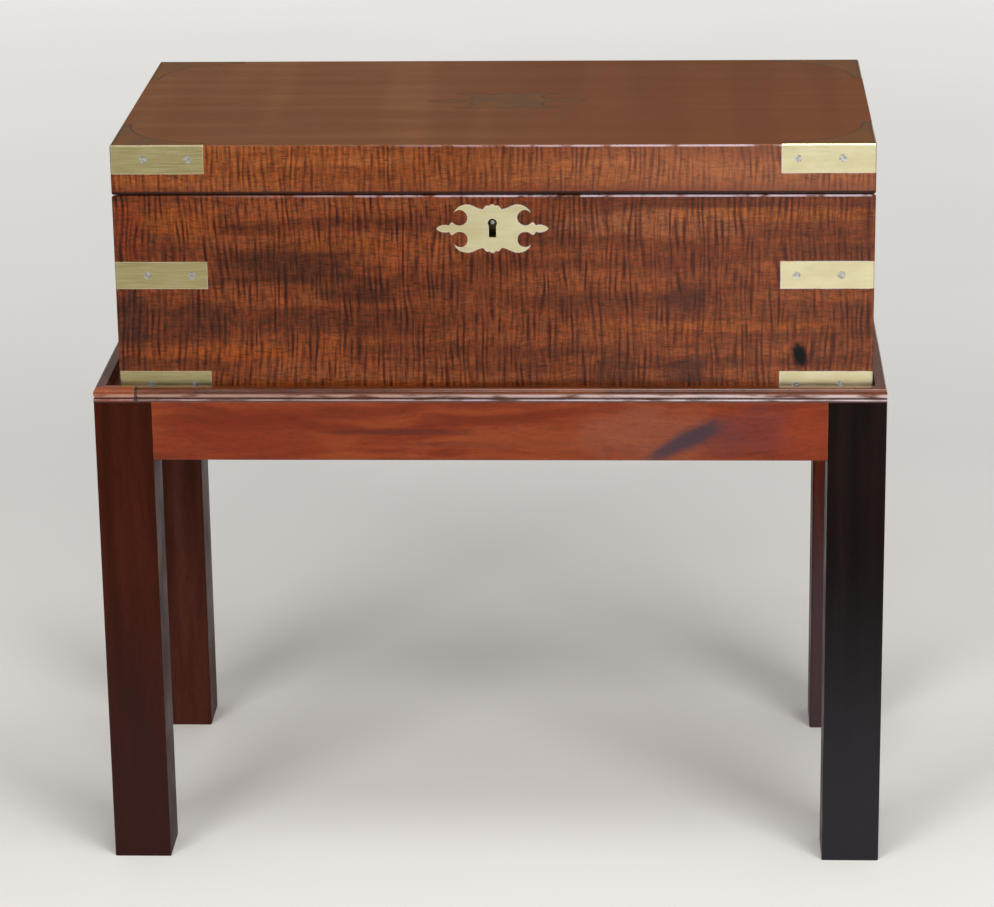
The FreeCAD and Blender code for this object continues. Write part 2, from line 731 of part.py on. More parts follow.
body_leaves = []
lid_leaves = []
hinge_pins = []
barrel_rooms = []
leaf_rooms = []
for s in SIDES:
    start = s * hinge_spacing / 2 - hinge_length / 2
    bore = bore_bar(hinge_pin_radius + hinge_pin_play, hinge_length + 2 * over,
                    V(start - over, hinge_y, hinge_z), V(1, 0, 0), barrel_sides)
    own = {"body": [n for n in range(knuckle_count) if n % 2 == 0],
           "lid": [n for n in range(knuckle_count) if n % 2 == 1]}
    window = slab((start, start + hinge_length), leaf_y, (0, box_height))
    lower = along_seam(-seam_gap / 2 - hinge_leaf_thickness, -seam_gap / 2).common(window)
    upper = along_seam(seam_gap / 2, seam_gap / 2 + hinge_leaf_thickness).common(window)
    leaf_rooms.append((lower, upper))
    barrel_rooms.append(bore_bar(hinge_knuckle_radius + hinge_play, hinge_length + 2 * hinge_play,
                                 V(start - hinge_play, hinge_y, hinge_z), V(1, 0, 0), barrel_sides))
    screws_down = []
    screws_up = []
    for t in SIDES:
        x = start + hinge_length / 2 + t * hinge_screw_spacing / 2
        y = hinge_y - (hinge_leaf_width + hinge_knuckle_radius) / 2
        screws_down.append(seam_screw(x, y, False))
        screws_up.append(seam_screw(x, y, True))
    body_small += screws_down
    lid_small += screws_up
    barrel_clear = hinge_knuckle_radius + hinge_play
    for leaf, mine, other, screws, leaves in (
            (lower, own["body"], own["lid"], screws_down, body_leaves),
            (upper, own["lid"], own["body"], screws_up, lid_leaves)):
        plate = leaf.cut(group(knuckles(bore_bar, start, other, barrel_clear, hinge_play)))
        barrels = knuckles(bar, start, mine, hinge_knuckle_radius, -hinge_play / 2)
        leaves.append(fuse([plate] + barrels).cut(bore).cut(group(screws)))
    hinge_pins.append(bar(hinge_pin_radius, hinge_length, V(start, hinge_y, hinge_z), V(1, 0, 0),
                          barrel_sides))
nodes["hinge_leaves_body"] = group(body_leaves)
nodes["hinge_leaves_lid"] = group(lid_leaves)
nodes["hinge_pins"] = group(hinge_pins)


# Side handles: a plate with a pan behind it, and a bail that hangs inside the pan
def bail():
    """The bail on the right side, its pivot line at the origin along Y."""
    half = bail_width / 2
    bend = bail_bend_radius
    corner = []
    for step in range(bend_steps + 1):
        angle = math.pi / 2 * step / bend_steps
        corner.append((half - bend + bend * math.sin(angle), -bail_drop + bend - bend * math.cos(angle)))
    right = [V(0, y, z) for y, z in corner] + [V(0, half, 0)]
    path = [V(0, -p.y, p.z) for p in reversed(right)] + right
    rings = []
    for n, point in enumerate(path):
        before = (point - path[n - 1]).normalize() if n else None
        after = (path[n + 1] - point).normalize() if n + 1 < len(path) else None
        along = ((before or after) + (after or before)).normalize()
        side = V(1, 0, 0)
        out = along.cross(side)
        stretch = 1 / along.dot(after or before)
        rings.append([point + side * c.x + out * (c.y * stretch)
                      for c in ring_at(bail_rod_radius, barrel_sides, 0)])
    parts = [skin(rings)]
    for s in SIDES:
        boss_start = V(0, s * half - bail_boss_length / 2, 0)
        parts.append(bar(bail_boss_radius, bail_boss_length, boss_start, V(0, 1, 0), barrel_sides))
        pin_reach = pan_length / 2 + pan_wall - bail_pin_end_play - half
        parts.append(bar(bail_pin_radius, pin_reach, V(0, s * half, 0), V(0, s, 0), barrel_sides))
    return fuse(parts)


def handle_parts():
    """Plate, pan, room in the wall and screws for the right side, face at x = 0, wall at -x."""
    plate = eased_plate(handle_plate_length, handle_plate_height, handle_plate_corner, brass_thickness,
                        bend_steps)
    plate.translate(V(-brass_thickness, 0, 0))
    pan_outer = eased_plate(pan_length + 2 * pan_wall, pan_height + 2 * pan_wall, pan_corner,
                            pan_depth + pan_wall, 1)
    pan_outer.translate(V(-pan_depth - pan_wall, 0, 0))
    pan_inner = eased_plate(pan_length, pan_height, pan_corner, pan_depth + over, 1)
    pan_inner.translate(V(-pan_depth, 0, 0))
    pivot = V(-bail_pivot_depth, -pan_length, bail_pivot_rise)
    bore = bore_bar(bail_pin_radius + bail_pin_play, 2 * pan_length, pivot, V(0, 1, 0), barrel_sides)
    room = fuse([plate, pan_outer])
    screws = []
    for sy in SIDES:
        for sz in SIDES:
            point = V(0, sy * (handle_plate_length / 2 - plate_screw_inset),
                      sz * (handle_plate_height / 2 - plate_screw_inset))
            screws.append(small_screw(point, V(-1, 0, 0)))
    return room.cut(pan_inner).cut(bore).cut(group(screws)), room, screws


plate, plate_room, plate_screws = handle_parts()
swing = bail()
swing.translate(V(-bail_pivot_depth, 0, bail_pivot_rise))
for side, turn in (("right", 0), ("left", 180)):
    moved = []
    for shape in [plate, plate_room, swing] + plate_screws:
        copy = shape.copy()
        copy.translate(V(half_width, 0, handle_height))
        copy.rotate(V(0, 0, 0), V(0, 0, 1), turn)
        moved.append(copy)
    nodes["handle_plate_" + side] = moved[0]
    nodes["handle_bail_" + side] = moved[2]
    body_small += moved[3:]
    body_walls[side] = body_walls[side].cut(moved[1]).cut(group(moved[3:]))

nodes["body_small_screws"] = group(body_small)
nodes["lid_small_screws"] = group(lid_small)
nodes["lock_case"] = nodes["lock_case"].cut(nodes["body_small_screws"])
nodes["link_plate"] = nodes["link_plate"].cut(nodes["lid_small_screws"])

# The walls take the brass, the lock and the hinges
body_walls["front"] = body_walls["front"].cut(case.fuse(selvedge)).cut(group(staple_slots)).cut(key_path)
body_walls["front"] = body_walls["front"].cut(escutcheon)
lid_walls["front"] = lid_walls["front"].cut(link_leaf)
for (lower, upper), barrel in zip(leaf_rooms, barrel_rooms):
    body_walls["back"] = body_walls["back"].cut(lower).cut(barrel)
    lid_walls["back"] = lid_walls["back"].cut(upper).cut(barrel)
for side in ("front", "back", "left", "right"):
    nodes["body_" + side] = body_walls[side].cut(body_brass).cut(nodes["body_small_screws"])
for side in ("front", "back", "left", "right", "top"):
    nodes["lid_" + side] = lid_walls[side].cut(lid_brass).cut(nodes["lid_small_screws"])
nodes["lid_top"] = nodes["lid_top"].cut(cartouche)

# Interior: partition, shelf, inkwell bays, pen tray
board_x = (-inner_half_width + writing_play, inner_half_width - writing_play)
board_y = (partition_front, inner_half_depth - writing_play)
board_top = -seam_gap / 2 - writing_drop
board_low = board_top - writing_thickness
under_board = along_seam(-box_height * 2, board_low)
nodes["tray_partition"] = slab((-inner_half_width, inner_half_width), (partition_front, partition_back),
                               (bottom_thickness, box_height)).common(under_board)
nodes["tray_shelf"] = slab((-inner_half_width, inner_half_width), (-inner_half_depth, partition_front),
                           (shelf_height - shelf_thickness, shelf_height))
bay_wall = inner_half_width - inkwell_bay - inkwell_wall
bay_top = seam_height(partition_front) - inkwell_wall_drop
tray_floor = shelf_height + tray_height_above_shelf
walls = []
for s in SIDES:
    tall = slab(sorted((s * bay_wall, s * (bay_wall + inkwell_wall))), (-inner_half_depth, partition_front),
                (shelf_height, bay_top))
    bearer = slab(sorted((s * (bay_wall - bearer_width), s * bay_wall)), (-inner_half_depth, partition_front),
                  (shelf_height, tray_floor))
    walls.append(fuse([tall, bearer]))
nodes["inkwell_partitions"] = group(walls)

tray_half = bay_wall - tray_play
tray_top = tray_floor + tray_depth
tray_middle = (-inner_half_depth + partition_front) / 2
groove_radius = ((tray_groove_width / 2) ** 2 + tray_groove_depth ** 2) / (2 * tray_groove_depth)
tray = slab((-tray_half, tray_half), (-inner_half_depth + tray_play, partition_front - tray_play),
            (tray_floor, tray_top))
groove_axis_height = tray_top - tray_groove_depth + groove_radius
groove = Part.makeCylinder(groove_radius, 2 * (tray_half - tray_end),
                           V(-tray_half + tray_end, tray_middle, groove_axis_height), V(1, 0, 0))
nodes["pen_tray"] = tray.cut(groove)

wells = []
caps = []
for s in SIDES:
    x = s * (inner_half_width - inkwell_bay / 2)
    half = inkwell_side / 2
    glass = slab((x - half, x + half), (tray_middle - half, tray_middle + half),
                 (shelf_height, shelf_height + inkwell_height))
    upright = [e for e in glass.Edges if e.BoundBox.ZLength > inkwell_height / 2]
    glass = glass.makeChamfer(inkwell_corner, upright)
    rim = shelf_height + inkwell_height
    wells.append(glass.cut(bore_bar(inkwell_bore_radius, inkwell_height,
                                    V(x, tray_middle, shelf_height + inkwell_floor), V(0, 0, 1), cap_sides)))
    plug_radius = inkwell_bore_radius - cap_plug_play
    steps = [(plug_radius, rim - cap_plug_depth, rim), (cap_flange_radius, rim, rim + cap_flange_height),
             (cap_knob_radius, rim + cap_flange_height, rim + cap_flange_height + cap_knob_height)]
    caps.append(fuse([bar(radius, high - low, V(x, tray_middle, low), V(0, 0, 1), cap_sides)
                      for radius, low, high in steps]))
nodes["inkwells"] = group(wells)
nodes["inkwell_caps"] = group(caps)


# Interior: writing boards in the plane of the seam, with inlaid leather, on ledges
def writing_board(low, high, leather_low, leather_high, y):
    room = slab(board_x, y, (0, box_height))
    leather_room = slab((board_x[0] + writing_border, board_x[1] - writing_border),
                        (y[0] + writing_border, y[1] - writing_border), (0, box_height))
    leather = along_seam(leather_low, leather_high).common(leather_room)
    return along_seam(low, high).common(room).cut(leather), leather


def ledges(low, high, y):
    """Strips on the end walls and the back wall that carry a board."""
    layer = along_seam(low, high)
    strips = []
    for s in SIDES:
        x = sorted((s * (inner_half_width - ledge_width), s * inner_half_width))
        strips.append(layer.common(slab(x, (y[0], y[1] - ledge_width), (0, box_height))))
    strips.append(layer.common(slab((-inner_half_width, inner_half_width), (y[1] - ledge_width, y[1]),
                                    (0, box_height))))
    return group(strips)


nodes["upper_writing_board"], nodes["upper_leather"] = writing_board(
    board_low, board_top, board_top - leather_thickness, board_top, board_y)
nodes["body_ledges"] = ledges(board_low - ledge_height, board_low, (partition_back, inner_half_depth))
lid_board_y = (-inner_half_depth + writing_play, inner_half_depth - writing_play)
nodes["lower_writing_board"], nodes["lower_leather"] = writing_board(
    -board_top, -board_low, -board_top, -board_top + leather_thickness, lid_board_y)
nodes["lid_ledges"] = ledges(-board_low, -board_low + ledge_height, (-inner_half_depth, inner_half_depth))

# Write the files: the stand is drawn in place, everything else moves onto it
STAND_PREFIXES = ("leg_", "rail_", "moulding_", "corner_brace")
for name, shape in nodes.items():
    placed = shape if name.startswith(STAND_PREFIXES) else in_box_place(shape)
    faults = [s for s in placed.Solids if not s.isValid() or s.Volume <= 0]
    print("%-24s solids %2d  volume %10.1f%s"
          % (name, len(placed.Solids), placed.Volume, "  FAULT" if faults or not placed.Solids else ""))
    placed.exportStep("parts/%s.step" % name)
print("nodes", len(nodes))
print("hinge axis", round(hinge_y, 3), round(hinge_z + stand_height + box_seat_gap, 3))
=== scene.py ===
# %% [markdown]
# # A campaign writing box on its stand
# An officer's writing box of the 1800s, bound in brass, standing loose on a later mahogany stand.
# The construction comes in finished, at its real size. This lesson gives it its looks:
# French-polished mahogany, worn brass, slotted steel screws and leather with a gilt border.

# %% Load the construction
import bmesh
import bpy
import json
import math
from mathutils import Matrix, Vector


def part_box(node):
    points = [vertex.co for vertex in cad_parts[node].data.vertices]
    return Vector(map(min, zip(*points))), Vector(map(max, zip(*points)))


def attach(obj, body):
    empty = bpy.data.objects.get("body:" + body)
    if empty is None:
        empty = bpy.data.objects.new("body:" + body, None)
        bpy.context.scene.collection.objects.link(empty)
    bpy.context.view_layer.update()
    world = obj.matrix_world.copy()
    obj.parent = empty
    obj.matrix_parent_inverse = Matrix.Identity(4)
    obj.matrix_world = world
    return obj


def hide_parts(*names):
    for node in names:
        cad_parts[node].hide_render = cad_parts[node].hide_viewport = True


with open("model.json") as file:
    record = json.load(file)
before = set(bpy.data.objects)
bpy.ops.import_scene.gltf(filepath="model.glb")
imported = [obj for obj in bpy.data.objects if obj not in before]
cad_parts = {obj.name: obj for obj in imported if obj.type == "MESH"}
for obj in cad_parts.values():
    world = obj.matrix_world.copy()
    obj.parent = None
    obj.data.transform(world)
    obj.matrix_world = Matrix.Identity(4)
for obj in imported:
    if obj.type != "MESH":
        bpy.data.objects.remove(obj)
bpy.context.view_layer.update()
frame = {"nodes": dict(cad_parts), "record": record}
nodes = frame["nodes"]
scene = bpy.context.scene
MM = 0.001
record = frame["record"]
body_of = {node: body for body, members in record["behaviour"]["bodies"].items() for node in members}

# %% [markdown]
# ## The camera
# The photographer stood about two and a half metres away, a little to the right of the middle,
# with a long lens, and looked down by 18 degrees. These values were worked out from the box's and
# the stand's corners. A camera in Blender looks along its own -Z. It could be aimed by angles or by
# a tracking constraint, but the photograph is tilted a little as well, so the camera's matrix is
# built from the three directions that a photographer would name: right, up and ahead.

# %% Camera
camera_place = Vector((0.1281, -2.6459, 1.1327))
camera_pitch = math.radians(18.175)
camera_yaw = math.radians(-2.808)
camera_roll = math.radians(-0.796)
focal_pixels = 3734.8
picture_width = 994
sensor_width = 36.0

level_ahead = Vector((math.sin(camera_yaw), math.cos(camera_yaw), 0))
level_right = Vector((math.cos(camera_yaw), -math.sin(camera_yaw), 0))
straight_up = Vector((0, 0, 1))
ahead = math.cos(camera_pitch) * level_ahead - math.sin(camera_pitch) * straight_up
tilted_up = math.sin(camera_pitch) * level_ahead + math.cos(camera_pitch) * straight_up
right = math.cos(camera_roll) * level_right + math.sin(camera_roll) * tilted_up
up = math.cos(camera_roll) * tilted_up - math.sin(camera_roll) * level_right

camera_data = bpy.data.cameras.new("camera")
camera_data.sensor_width = sensor_width
camera_data.lens = focal_pixels / picture_width * sensor_width
camera = bpy.data.objects.new("camera", camera_data)
camera.matrix_world = Matrix.Translation(camera_place) @ Matrix((right, up, -ahead)).transposed().to_4x4()
scene.collection.objects.link(camera)
scene.camera = camera
scene.view_settings.view_transform = "Standard"
print("lens in mm", round(camera_data.lens, 1))

# %% [markdown]
# ## Colours and nodes
# A material is a net of nodes, and each node could be placed and wired by hand. In a script the same
# few steps repeat for every one, so a single function adds a node of any kind, sets it and wires
# it. Colours are written as on paper, #RRGGBB, and another function turns them into linear light,
# which is what the renderer adds up.

# %% Colours and nodes


def srgb(code):
    """A colour written #RRGGBB, as the linear light that the renderer adds up."""
    parts = [int(code[n:n + 2], 16) / 255 for n in (1, 3, 5)]
    return [p / 12.92 if p <= 0.04045 else ((p + 0.055) / 1.055) ** 2.4 for p in parts] + [1.0]


def add(tree, kind, inputs=None, stops=None, out=0, **settings):
    """Adds one node, sets it, wires its inputs by name or number and returns one of its outputs."""
    node = tree.nodes.new(kind)
    for name, value in settings.items():
        setattr(node, name, value)
    if stops:
        ramp = node.color_ramp
        ramp.elements[0].position = stops[0][0]
        ramp.elements[1].position = stops[-1][0]
        for place, _ in stops[1:-1]:
            ramp.elements.new(place)
        for element, (_, colour) in zip(ramp.elements, stops):
            element.color = srgb(colour)
    for key, value in (inputs or {}).items():
        if isinstance(value, bpy.types.NodeSocket):
            tree.links.new(value, node.inputs[key])
        else:
            node.inputs[key].default_value = value
    return node.outputs[out] if node.outputs else None


print("half-bright grey as light", [round(part, 3) for part in srgb("#808080")])

# %% [markdown]
# ## A finish, laid on in coats
# A polisher lays stain over stain on bare wood. The class below keeps a material in the same way: it
# has a colour so far, and each stain goes over it through a mask, which is 1 where the stain takes
# and 0 where it doesn't. The same nodes could be one long chain in a drawing, but as coats they
# read like the workshop's own recipe. What is even all over the surface is set on the shader.

# %% The finish


class Finish:
    """A material while it is made: its tree, its shader, its colour so far and its edges, for wear and
    painted highlight.
    """

    def __init__(self, name, **fixed):
        self.material = bpy.data.materials.new(name)
        self.material.use_nodes = True
        self.tree = self.material.node_tree
        self.tree.nodes.clear()
        fixed = {key.replace("_", " "): value for key, value in fixed.items()}
        self.shader = add(self.tree, "ShaderNodeBsdfPrincipled", fixed)
        add(self.tree, "ShaderNodeOutputMaterial", {"Surface": self.shader})
        self.place = add(self.tree, "ShaderNodeTexCoord", out="Object")
        self.normal = self.place.node.outputs["Normal"]
        self.colour = None
        self.rim = None

    def link(self, **sockets):
        """Wires finished values into the shader's sockets."""
        for key, socket in sockets.items():
            self.tree.links.new(socket, self.shader.node.inputs[key.replace("_", " ")])

    def paint(self, colour):
        """Makes this the colour so far."""
        self.colour = colour
        self.link(Base_Color=colour)

    def shade(self, mask, *codes):
        """Paints from the first colour, where a mask is 0, to the last, where it is 1."""
        last = max(len(codes) - 1, 1)
        stops = [(number / last, code) for number, code in enumerate(codes)]
        self.paint(add(self.tree, "ShaderNodeValToRGB", {"Fac": mask}, stops=stops))

    def stain(self, mask, amount, code, mode="MIX"):
        """Lays a colour over the colour so far where a mask says, at most by the amount."""
        share = add(self.tree, "ShaderNodeMath", {0: mask, 1: amount}, operation="MULTIPLY")
        self.paint(add(self.tree, "ShaderNodeMix", {0: share, 6: self.colour, 7: srgb(code)}, out=2,
                       data_type="RGBA", blend_type=mode))


def dress(node_names, finish):
    """Gives CAD nodes their finish."""
    for name in node_names:
        nodes[name].data.materials[0] = finish.material
    print(finish.material.name, "on", *node_names)


# %% [markdown]
# ## Masks
# Wear, dirt and figure are never even. Image textures could show them, but they need unwrapping and
# have one fixed resolution. Noise that reads the place on the object works at any distance: it is
# stretched to the real mark's length and width and cut with a soft threshold. A slope is a mask that
# rises between two places, and masks are combined by multiplying them. A mask also drives the gloss,
# and its height a shallow relief.

# %% Masks


def both(finish, *masks):
    """1 only where every mask is 1."""
    result = masks[0]
    for mask in masks[1:]:
        result = add(finish.tree, "ShaderNodeMath", {0: result, 1: mask}, operation="MULTIPLY")
    return result


def marks(finish, place, lengths, detail=2.0, low=0.35, high=0.65):
    """Cloudy marks from 0 to 1, as long along X, Y and Z as the three lengths say."""
    scaled = add(finish.tree, "ShaderNodeVectorMath", {0: place, 1: tuple(1 / n for n in lengths)},
                 operation="MULTIPLY")
    cloud = add(finish.tree, "ShaderNodeTexNoise", {"Vector": scaled, "Scale": 1.0, "Detail": detail})
    return add(finish.tree, "ShaderNodeMapRange", {"Value": cloud, "From Min": low, "From Max": high},
               interpolation_type="SMOOTHSTEP")


def slope(finish, vector, axis, start, end):
    """0 before the start along an axis, 1 after the end."""
    part = add(finish.tree, "ShaderNodeSeparateXYZ", {0: vector}, out=axis)
    return add(finish.tree, "ShaderNodeMapRange", {"Value": part, "From Min": start, "From Max": end},
               interpolation_type="SMOOTHSTEP")


def graded(finish, mask, low, high):
    """A value that runs from low, where a mask is 0, to high, where it is 1."""
    return add(finish.tree, "ShaderNodeMapRange", {"Value": mask, "To Min": low, "To Max": high})


def relief(finish, height, depth, strength):
    """A shallow relief, as deep as the depth where the height is 1."""
    return add(finish.tree, "ShaderNodeBump", {"Height": height, "Distance": depth, "Strength": strength})


print("masks: both, marks, slope; what they drive: graded, relief")

# %% [markdown]
# ## The floor
# A photographer's studio floor is painted pale and runs up into a backdrop. A curved sheet would
# do, but a flat floor far wider than the picture is enough, because the picture's top edge still
# looks down on it. It fades to plain white in the distance, for the camera only, so that the light
# on the object doesn't change, and it keeps the object's shadow.

# %% Floor
floor_reach = 40.0
glow_start = 0.4
glow_end = 4.0
glow = 0.55
floor_cloud = 0.6

floor_mesh = bpy.data.meshes.new("floor")
floor_mesh.from_pydata([(-floor_reach, -floor_reach, 0), (floor_reach, -floor_reach, 0),
                        (floor_reach, floor_reach, 0), (-floor_reach, floor_reach, 0)], [], [(0, 1, 2, 3)])
floor = bpy.data.objects.new("floor", floor_mesh)
scene.collection.objects.link(floor)

# Matt floor paint: no mirror image of the legs, only their soft shadows.
floor_paint = Finish("matt floor paint", Roughness=0.7, Specular_IOR_Level=0.2,
                     Emission_Color=srgb("#FFFFFF"))
scuffed = marks(floor_paint, floor_paint.place, (floor_cloud,) * 3, detail=3.0)
floor_paint.shade(scuffed, "#F3F1ED", "#F8F6F2")
away = add(floor_paint.tree, "ShaderNodeVectorMath", {0: floor_paint.place}, out="Value",
           operation="LENGTH")
fading = add(floor_paint.tree, "ShaderNodeMapRange",
             {"Value": away, "From Min": glow_start, "From Max": glow_end, "To Max": glow})
floor_seen = add(floor_paint.tree, "ShaderNodeLightPath", out="Is Camera Ray")
floor_paint.link(Emission_Strength=both(floor_paint, fading, floor_seen))
floor_mesh.materials.append(floor_paint.material)
print("floor in metres", 2 * floor_reach)

# %% [markdown]
# ## The room
# The world is a pale room that lights the object weakly from all sides. Polish and brass look flat
# without something to mirror, so reflections see the room as well: its walls are darker than its
# ceiling, as in any furnished room, or the lid's top would look milky. Light Path tells these rays
# apart, and the camera sees the room evenly pale.

# %% Room
room_level = 0.4
walls_mirrored = 0.2
ceiling_mirrored = 0.7
walls_end = 0.2
ceiling_start = 0.65
room_seen = 0.84

world = bpy.data.worlds.new("pale room")
scene.world = world
world.use_nodes = True
world.node_tree.nodes.clear()
room = world.node_tree
rays = add(room, "ShaderNodeLightPath").node
seen = add(room, "ShaderNodeMath",
           {0: rays.outputs["Is Camera Ray"], 1: rays.outputs["Is Transmission Ray"]}, operation="MAXIMUM")
direction = add(room, "ShaderNodeTexCoord", out="Generated")
height = add(room, "ShaderNodeSeparateXYZ", {0: direction}, out="Z")
mirrored = add(room, "ShaderNodeMapRange",
               {"Value": height, "From Min": walls_end, "From Max": ceiling_start,
                "To Min": walls_mirrored, "To Max": ceiling_mirrored})
lit = add(room, "ShaderNodeMix", {0: rays.outputs["Is Glossy Ray"], 2: room_level, 3: mirrored},
          data_type="FLOAT")
strength = add(room, "ShaderNodeMix", {0: seen, 2: lit, 3: room_seen}, data_type="FLOAT")
background = add(room, "ShaderNodeBackground", {"Color": srgb("#EDEBE8"), "Strength": strength})
add(room, "ShaderNodeOutputWorld", {"Surface": background})
print("nodes in the world", len(room.nodes))

# %% [markdown]
# ## The lamps
# Two softboxes stand in front, one on each side of the camera, and a third hangs overhead for the
# arrises. A window behind the camera, a little to the right, draws the long highlight on the stand's
# rounded rim. Area lamps are used for all four, because point lamps would draw hard shadows and
# pin-sharp highlights that no polish in a room shows.

# %% Lamps
front_aim = (0, 0, 0.35)
rim_aim = (0, 0, 0.4)


def softbox(name, place, aim, width, height, power):
    """A flat white lamp that faces a point; its power is in watts."""
    light = bpy.data.lights.new(name, "AREA")
    light.shape = "RECTANGLE"
    light.size = width
    light.size_y = height
    light.energy = power
    lamp = bpy.data.objects.new(name, light)
    lamp.location = place
    lamp.rotation_euler = (Vector(aim) - Vector(place)).to_track_quat("-Z", "Y").to_euler()
    scene.collection.objects.link(lamp)
    print(name, "watts", power)


softbox("softbox_left", (-1.3, -2.3, 1.7), front_aim, width=1.0, height=1.0, power=28)
softbox("softbox_right", (1.5, -2.1, 1.5), front_aim, width=1.0, height=1.0, power=28)
softbox("softbox_above", (0.25, -0.55, 2.4), rim_aim, width=0.9, height=0.7, power=12)
softbox("window", (0.45, -2.9, 2.6), rim_aim, width=1.5, height=0.5, power=18)

# %% [markdown]
# ## Masks that need more than noise
# Swirled places make straight figure wander, as a grown tree does. A spot is an oval whose distance
# is disturbed by noise, so that its rim is ragged, for knots, water stains and areas of tone. Worn
# edges, and the painted highlights on edges, could be painted by hand on every board; the Bevel node
# finds the edges by itself, because on an edge the rounded normal that it gives differs from the flat
# one.

# %% Swirls, spots and edges


def swirled(finish, reach, size):
    """The place pushed about by up to the reach, in swirls of some size."""
    swirl = add(finish.tree, "ShaderNodeTexNoise",
                {"Vector": finish.place, "Scale": 1 / size, "Detail": 1.0}, out="Color")
    centred = add(finish.tree, "ShaderNodeVectorMath", {0: swirl, 1: (0.5, 0.5, 0.5)}, operation="SUBTRACT")
    return add(finish.tree, "ShaderNodeVectorMath", {0: centred, 1: (2 * reach,) * 3, 2: finish.place},
               operation="MULTIPLY_ADD")


def spot(finish, centre, halves, ragged=0.3, lean=0.0):
    """1 in the middle of an oval place on the object, falling to 0 at its ragged rim."""
    tree = finish.tree
    away = add(tree, "ShaderNodeVectorMath", {0: finish.place, 1: centre}, operation="SUBTRACT")
    away = add(tree, "ShaderNodeVectorRotate", {"Vector": away, "Angle": lean}, rotation_type="Y_AXIS")
    shares = add(tree, "ShaderNodeVectorMath", {0: away, 1: halves}, operation="DIVIDE")
    distance = add(tree, "ShaderNodeVectorMath", {0: shares}, out="Value", operation="LENGTH")
    cloud = add(tree, "ShaderNodeTexNoise", {"Vector": shares, "Scale": 2.3, "Detail": 3.0})
    uneven = add(tree, "ShaderNodeMath", {0: cloud, 1: 2 * ragged, 2: distance}, operation="MULTIPLY_ADD")
    return add(tree, "ShaderNodeMapRange",
               {"Value": uneven, "From Min": 1 + ragged, "From Max": 0.4 + ragged},
               interpolation_type="SMOOTHSTEP")


def edges(finish, radius):
    """1 on the sharp edges of a piece, 0 on its flats."""
    rounded = add(finish.tree, "ShaderNodeBevel", {"Radius": radius}, samples=4)
    flat = add(finish.tree, "ShaderNodeNewGeometry", out="Normal")
    alike = add(finish.tree, "ShaderNodeVectorMath", {0: rounded, 1: flat}, out="Value",
                operation="DOT_PRODUCT")
    return add(finish.tree, "ShaderNodeMapRange", {"Value": alike, "From Min": 0.995, "From Max": 0.8})


print("masks: swirled, spot, edges")

# %% [markdown]
# ## Fiddleback figure
# The box's walls are fiddleback stock: the fibres wave in and out of the surface, which shows as
# thin dark lines across the grain, four millimetres apart. Stretched noise alone looks like bark. A
# wave texture gives the steady rhythm, the swirl makes its lines lean, and clouds fade it here and
# there, as the saw passed through deeper or shallower waves.

# %% Fiddleback figure
ripple_patch = (8 * MM, 22 * MM)
stripe = (1.4 * MM, 12 * MM)
painted_glint_size = 1.6 * MM


def along(grain, length, width):
    """Lengths along X, Y and Z for a mark that lies along the grain."""
    return tuple(length if axis == grain else width for axis in "XYZ")


def rippled(finish, bent, grain, amount, pitch):
    """Dark ripples across the grain and painted glints between them; returns the ripples as a mask."""
    flattened = add(finish.tree, "ShaderNodeVectorMath", {0: bent, 1: along(grain, 1.0, 0.2)},
                    operation="MULTIPLY")
    wave = add(finish.tree, "ShaderNodeTexWave",
               {"Vector": flattened, "Scale": math.pi / (10 * pitch), "Distortion": 7.0, "Detail": 1.0,
                "Detail Scale": 1.2}, out="Fac", bands_direction=grain)
    trough = add(finish.tree, "ShaderNodeMapRange", {"Value": wave, "From Min": 0.8, "From Max": 0.0},
                 interpolation_type="SMOOTHSTEP")
    uneven = marks(finish, bent, along(grain, *ripple_patch), low=0.3, high=0.7)
    finish.stain(both(finish, trough, uneven), amount, "#7A4628", "MULTIPLY")
    stripes = marks(finish, bent, along(grain, *stripe), low=0.4, high=0.66)
    finish.stain(stripes, 0.5 * amount, "#7E4C30", "MULTIPLY")
    # Painted highlight: pale flecks between the ripples stand in for the shimmer of the figure.
    painted_glints = marks(finish, bent, (painted_glint_size,) * 3, low=0.56, high=0.7)
    finish.stain(painted_glints, 0.35, "#F4D8B8", "SOFT_LIGHT")
    return trough


print("a mark along X in mm", [round(length / MM, 1) for length in along("X", 10 * MM, 1.6 * MM)])

# %% [markdown]
# ## Mahogany
# Every board here is mahogany under French polish, a skin of shellac rubbed on by hand. The wood
# has three sizes of mark along its fibres: broad bands of tone, fine fibres, and short dark pores.
# One noise with many octaves would mix all three, so each has its own, at its own length and width.
# Each board says along which axis its fibres run. Polish is smeared, so the gloss is uneven too.

# %% Mahogany
swirl_size = 90 * MM
fibre_width = 1.6 * MM
fibre_length = 10 * MM
dark_fibre_length = 7 * MM
pore_width = 0.8 * MM
pore_length = 6 * MM
worn_edge = 1.0 * MM
chip = (9 * MM, 9 * MM, 4 * MM)
smear = (60 * MM,) * 3
area_reach = 12 * MM


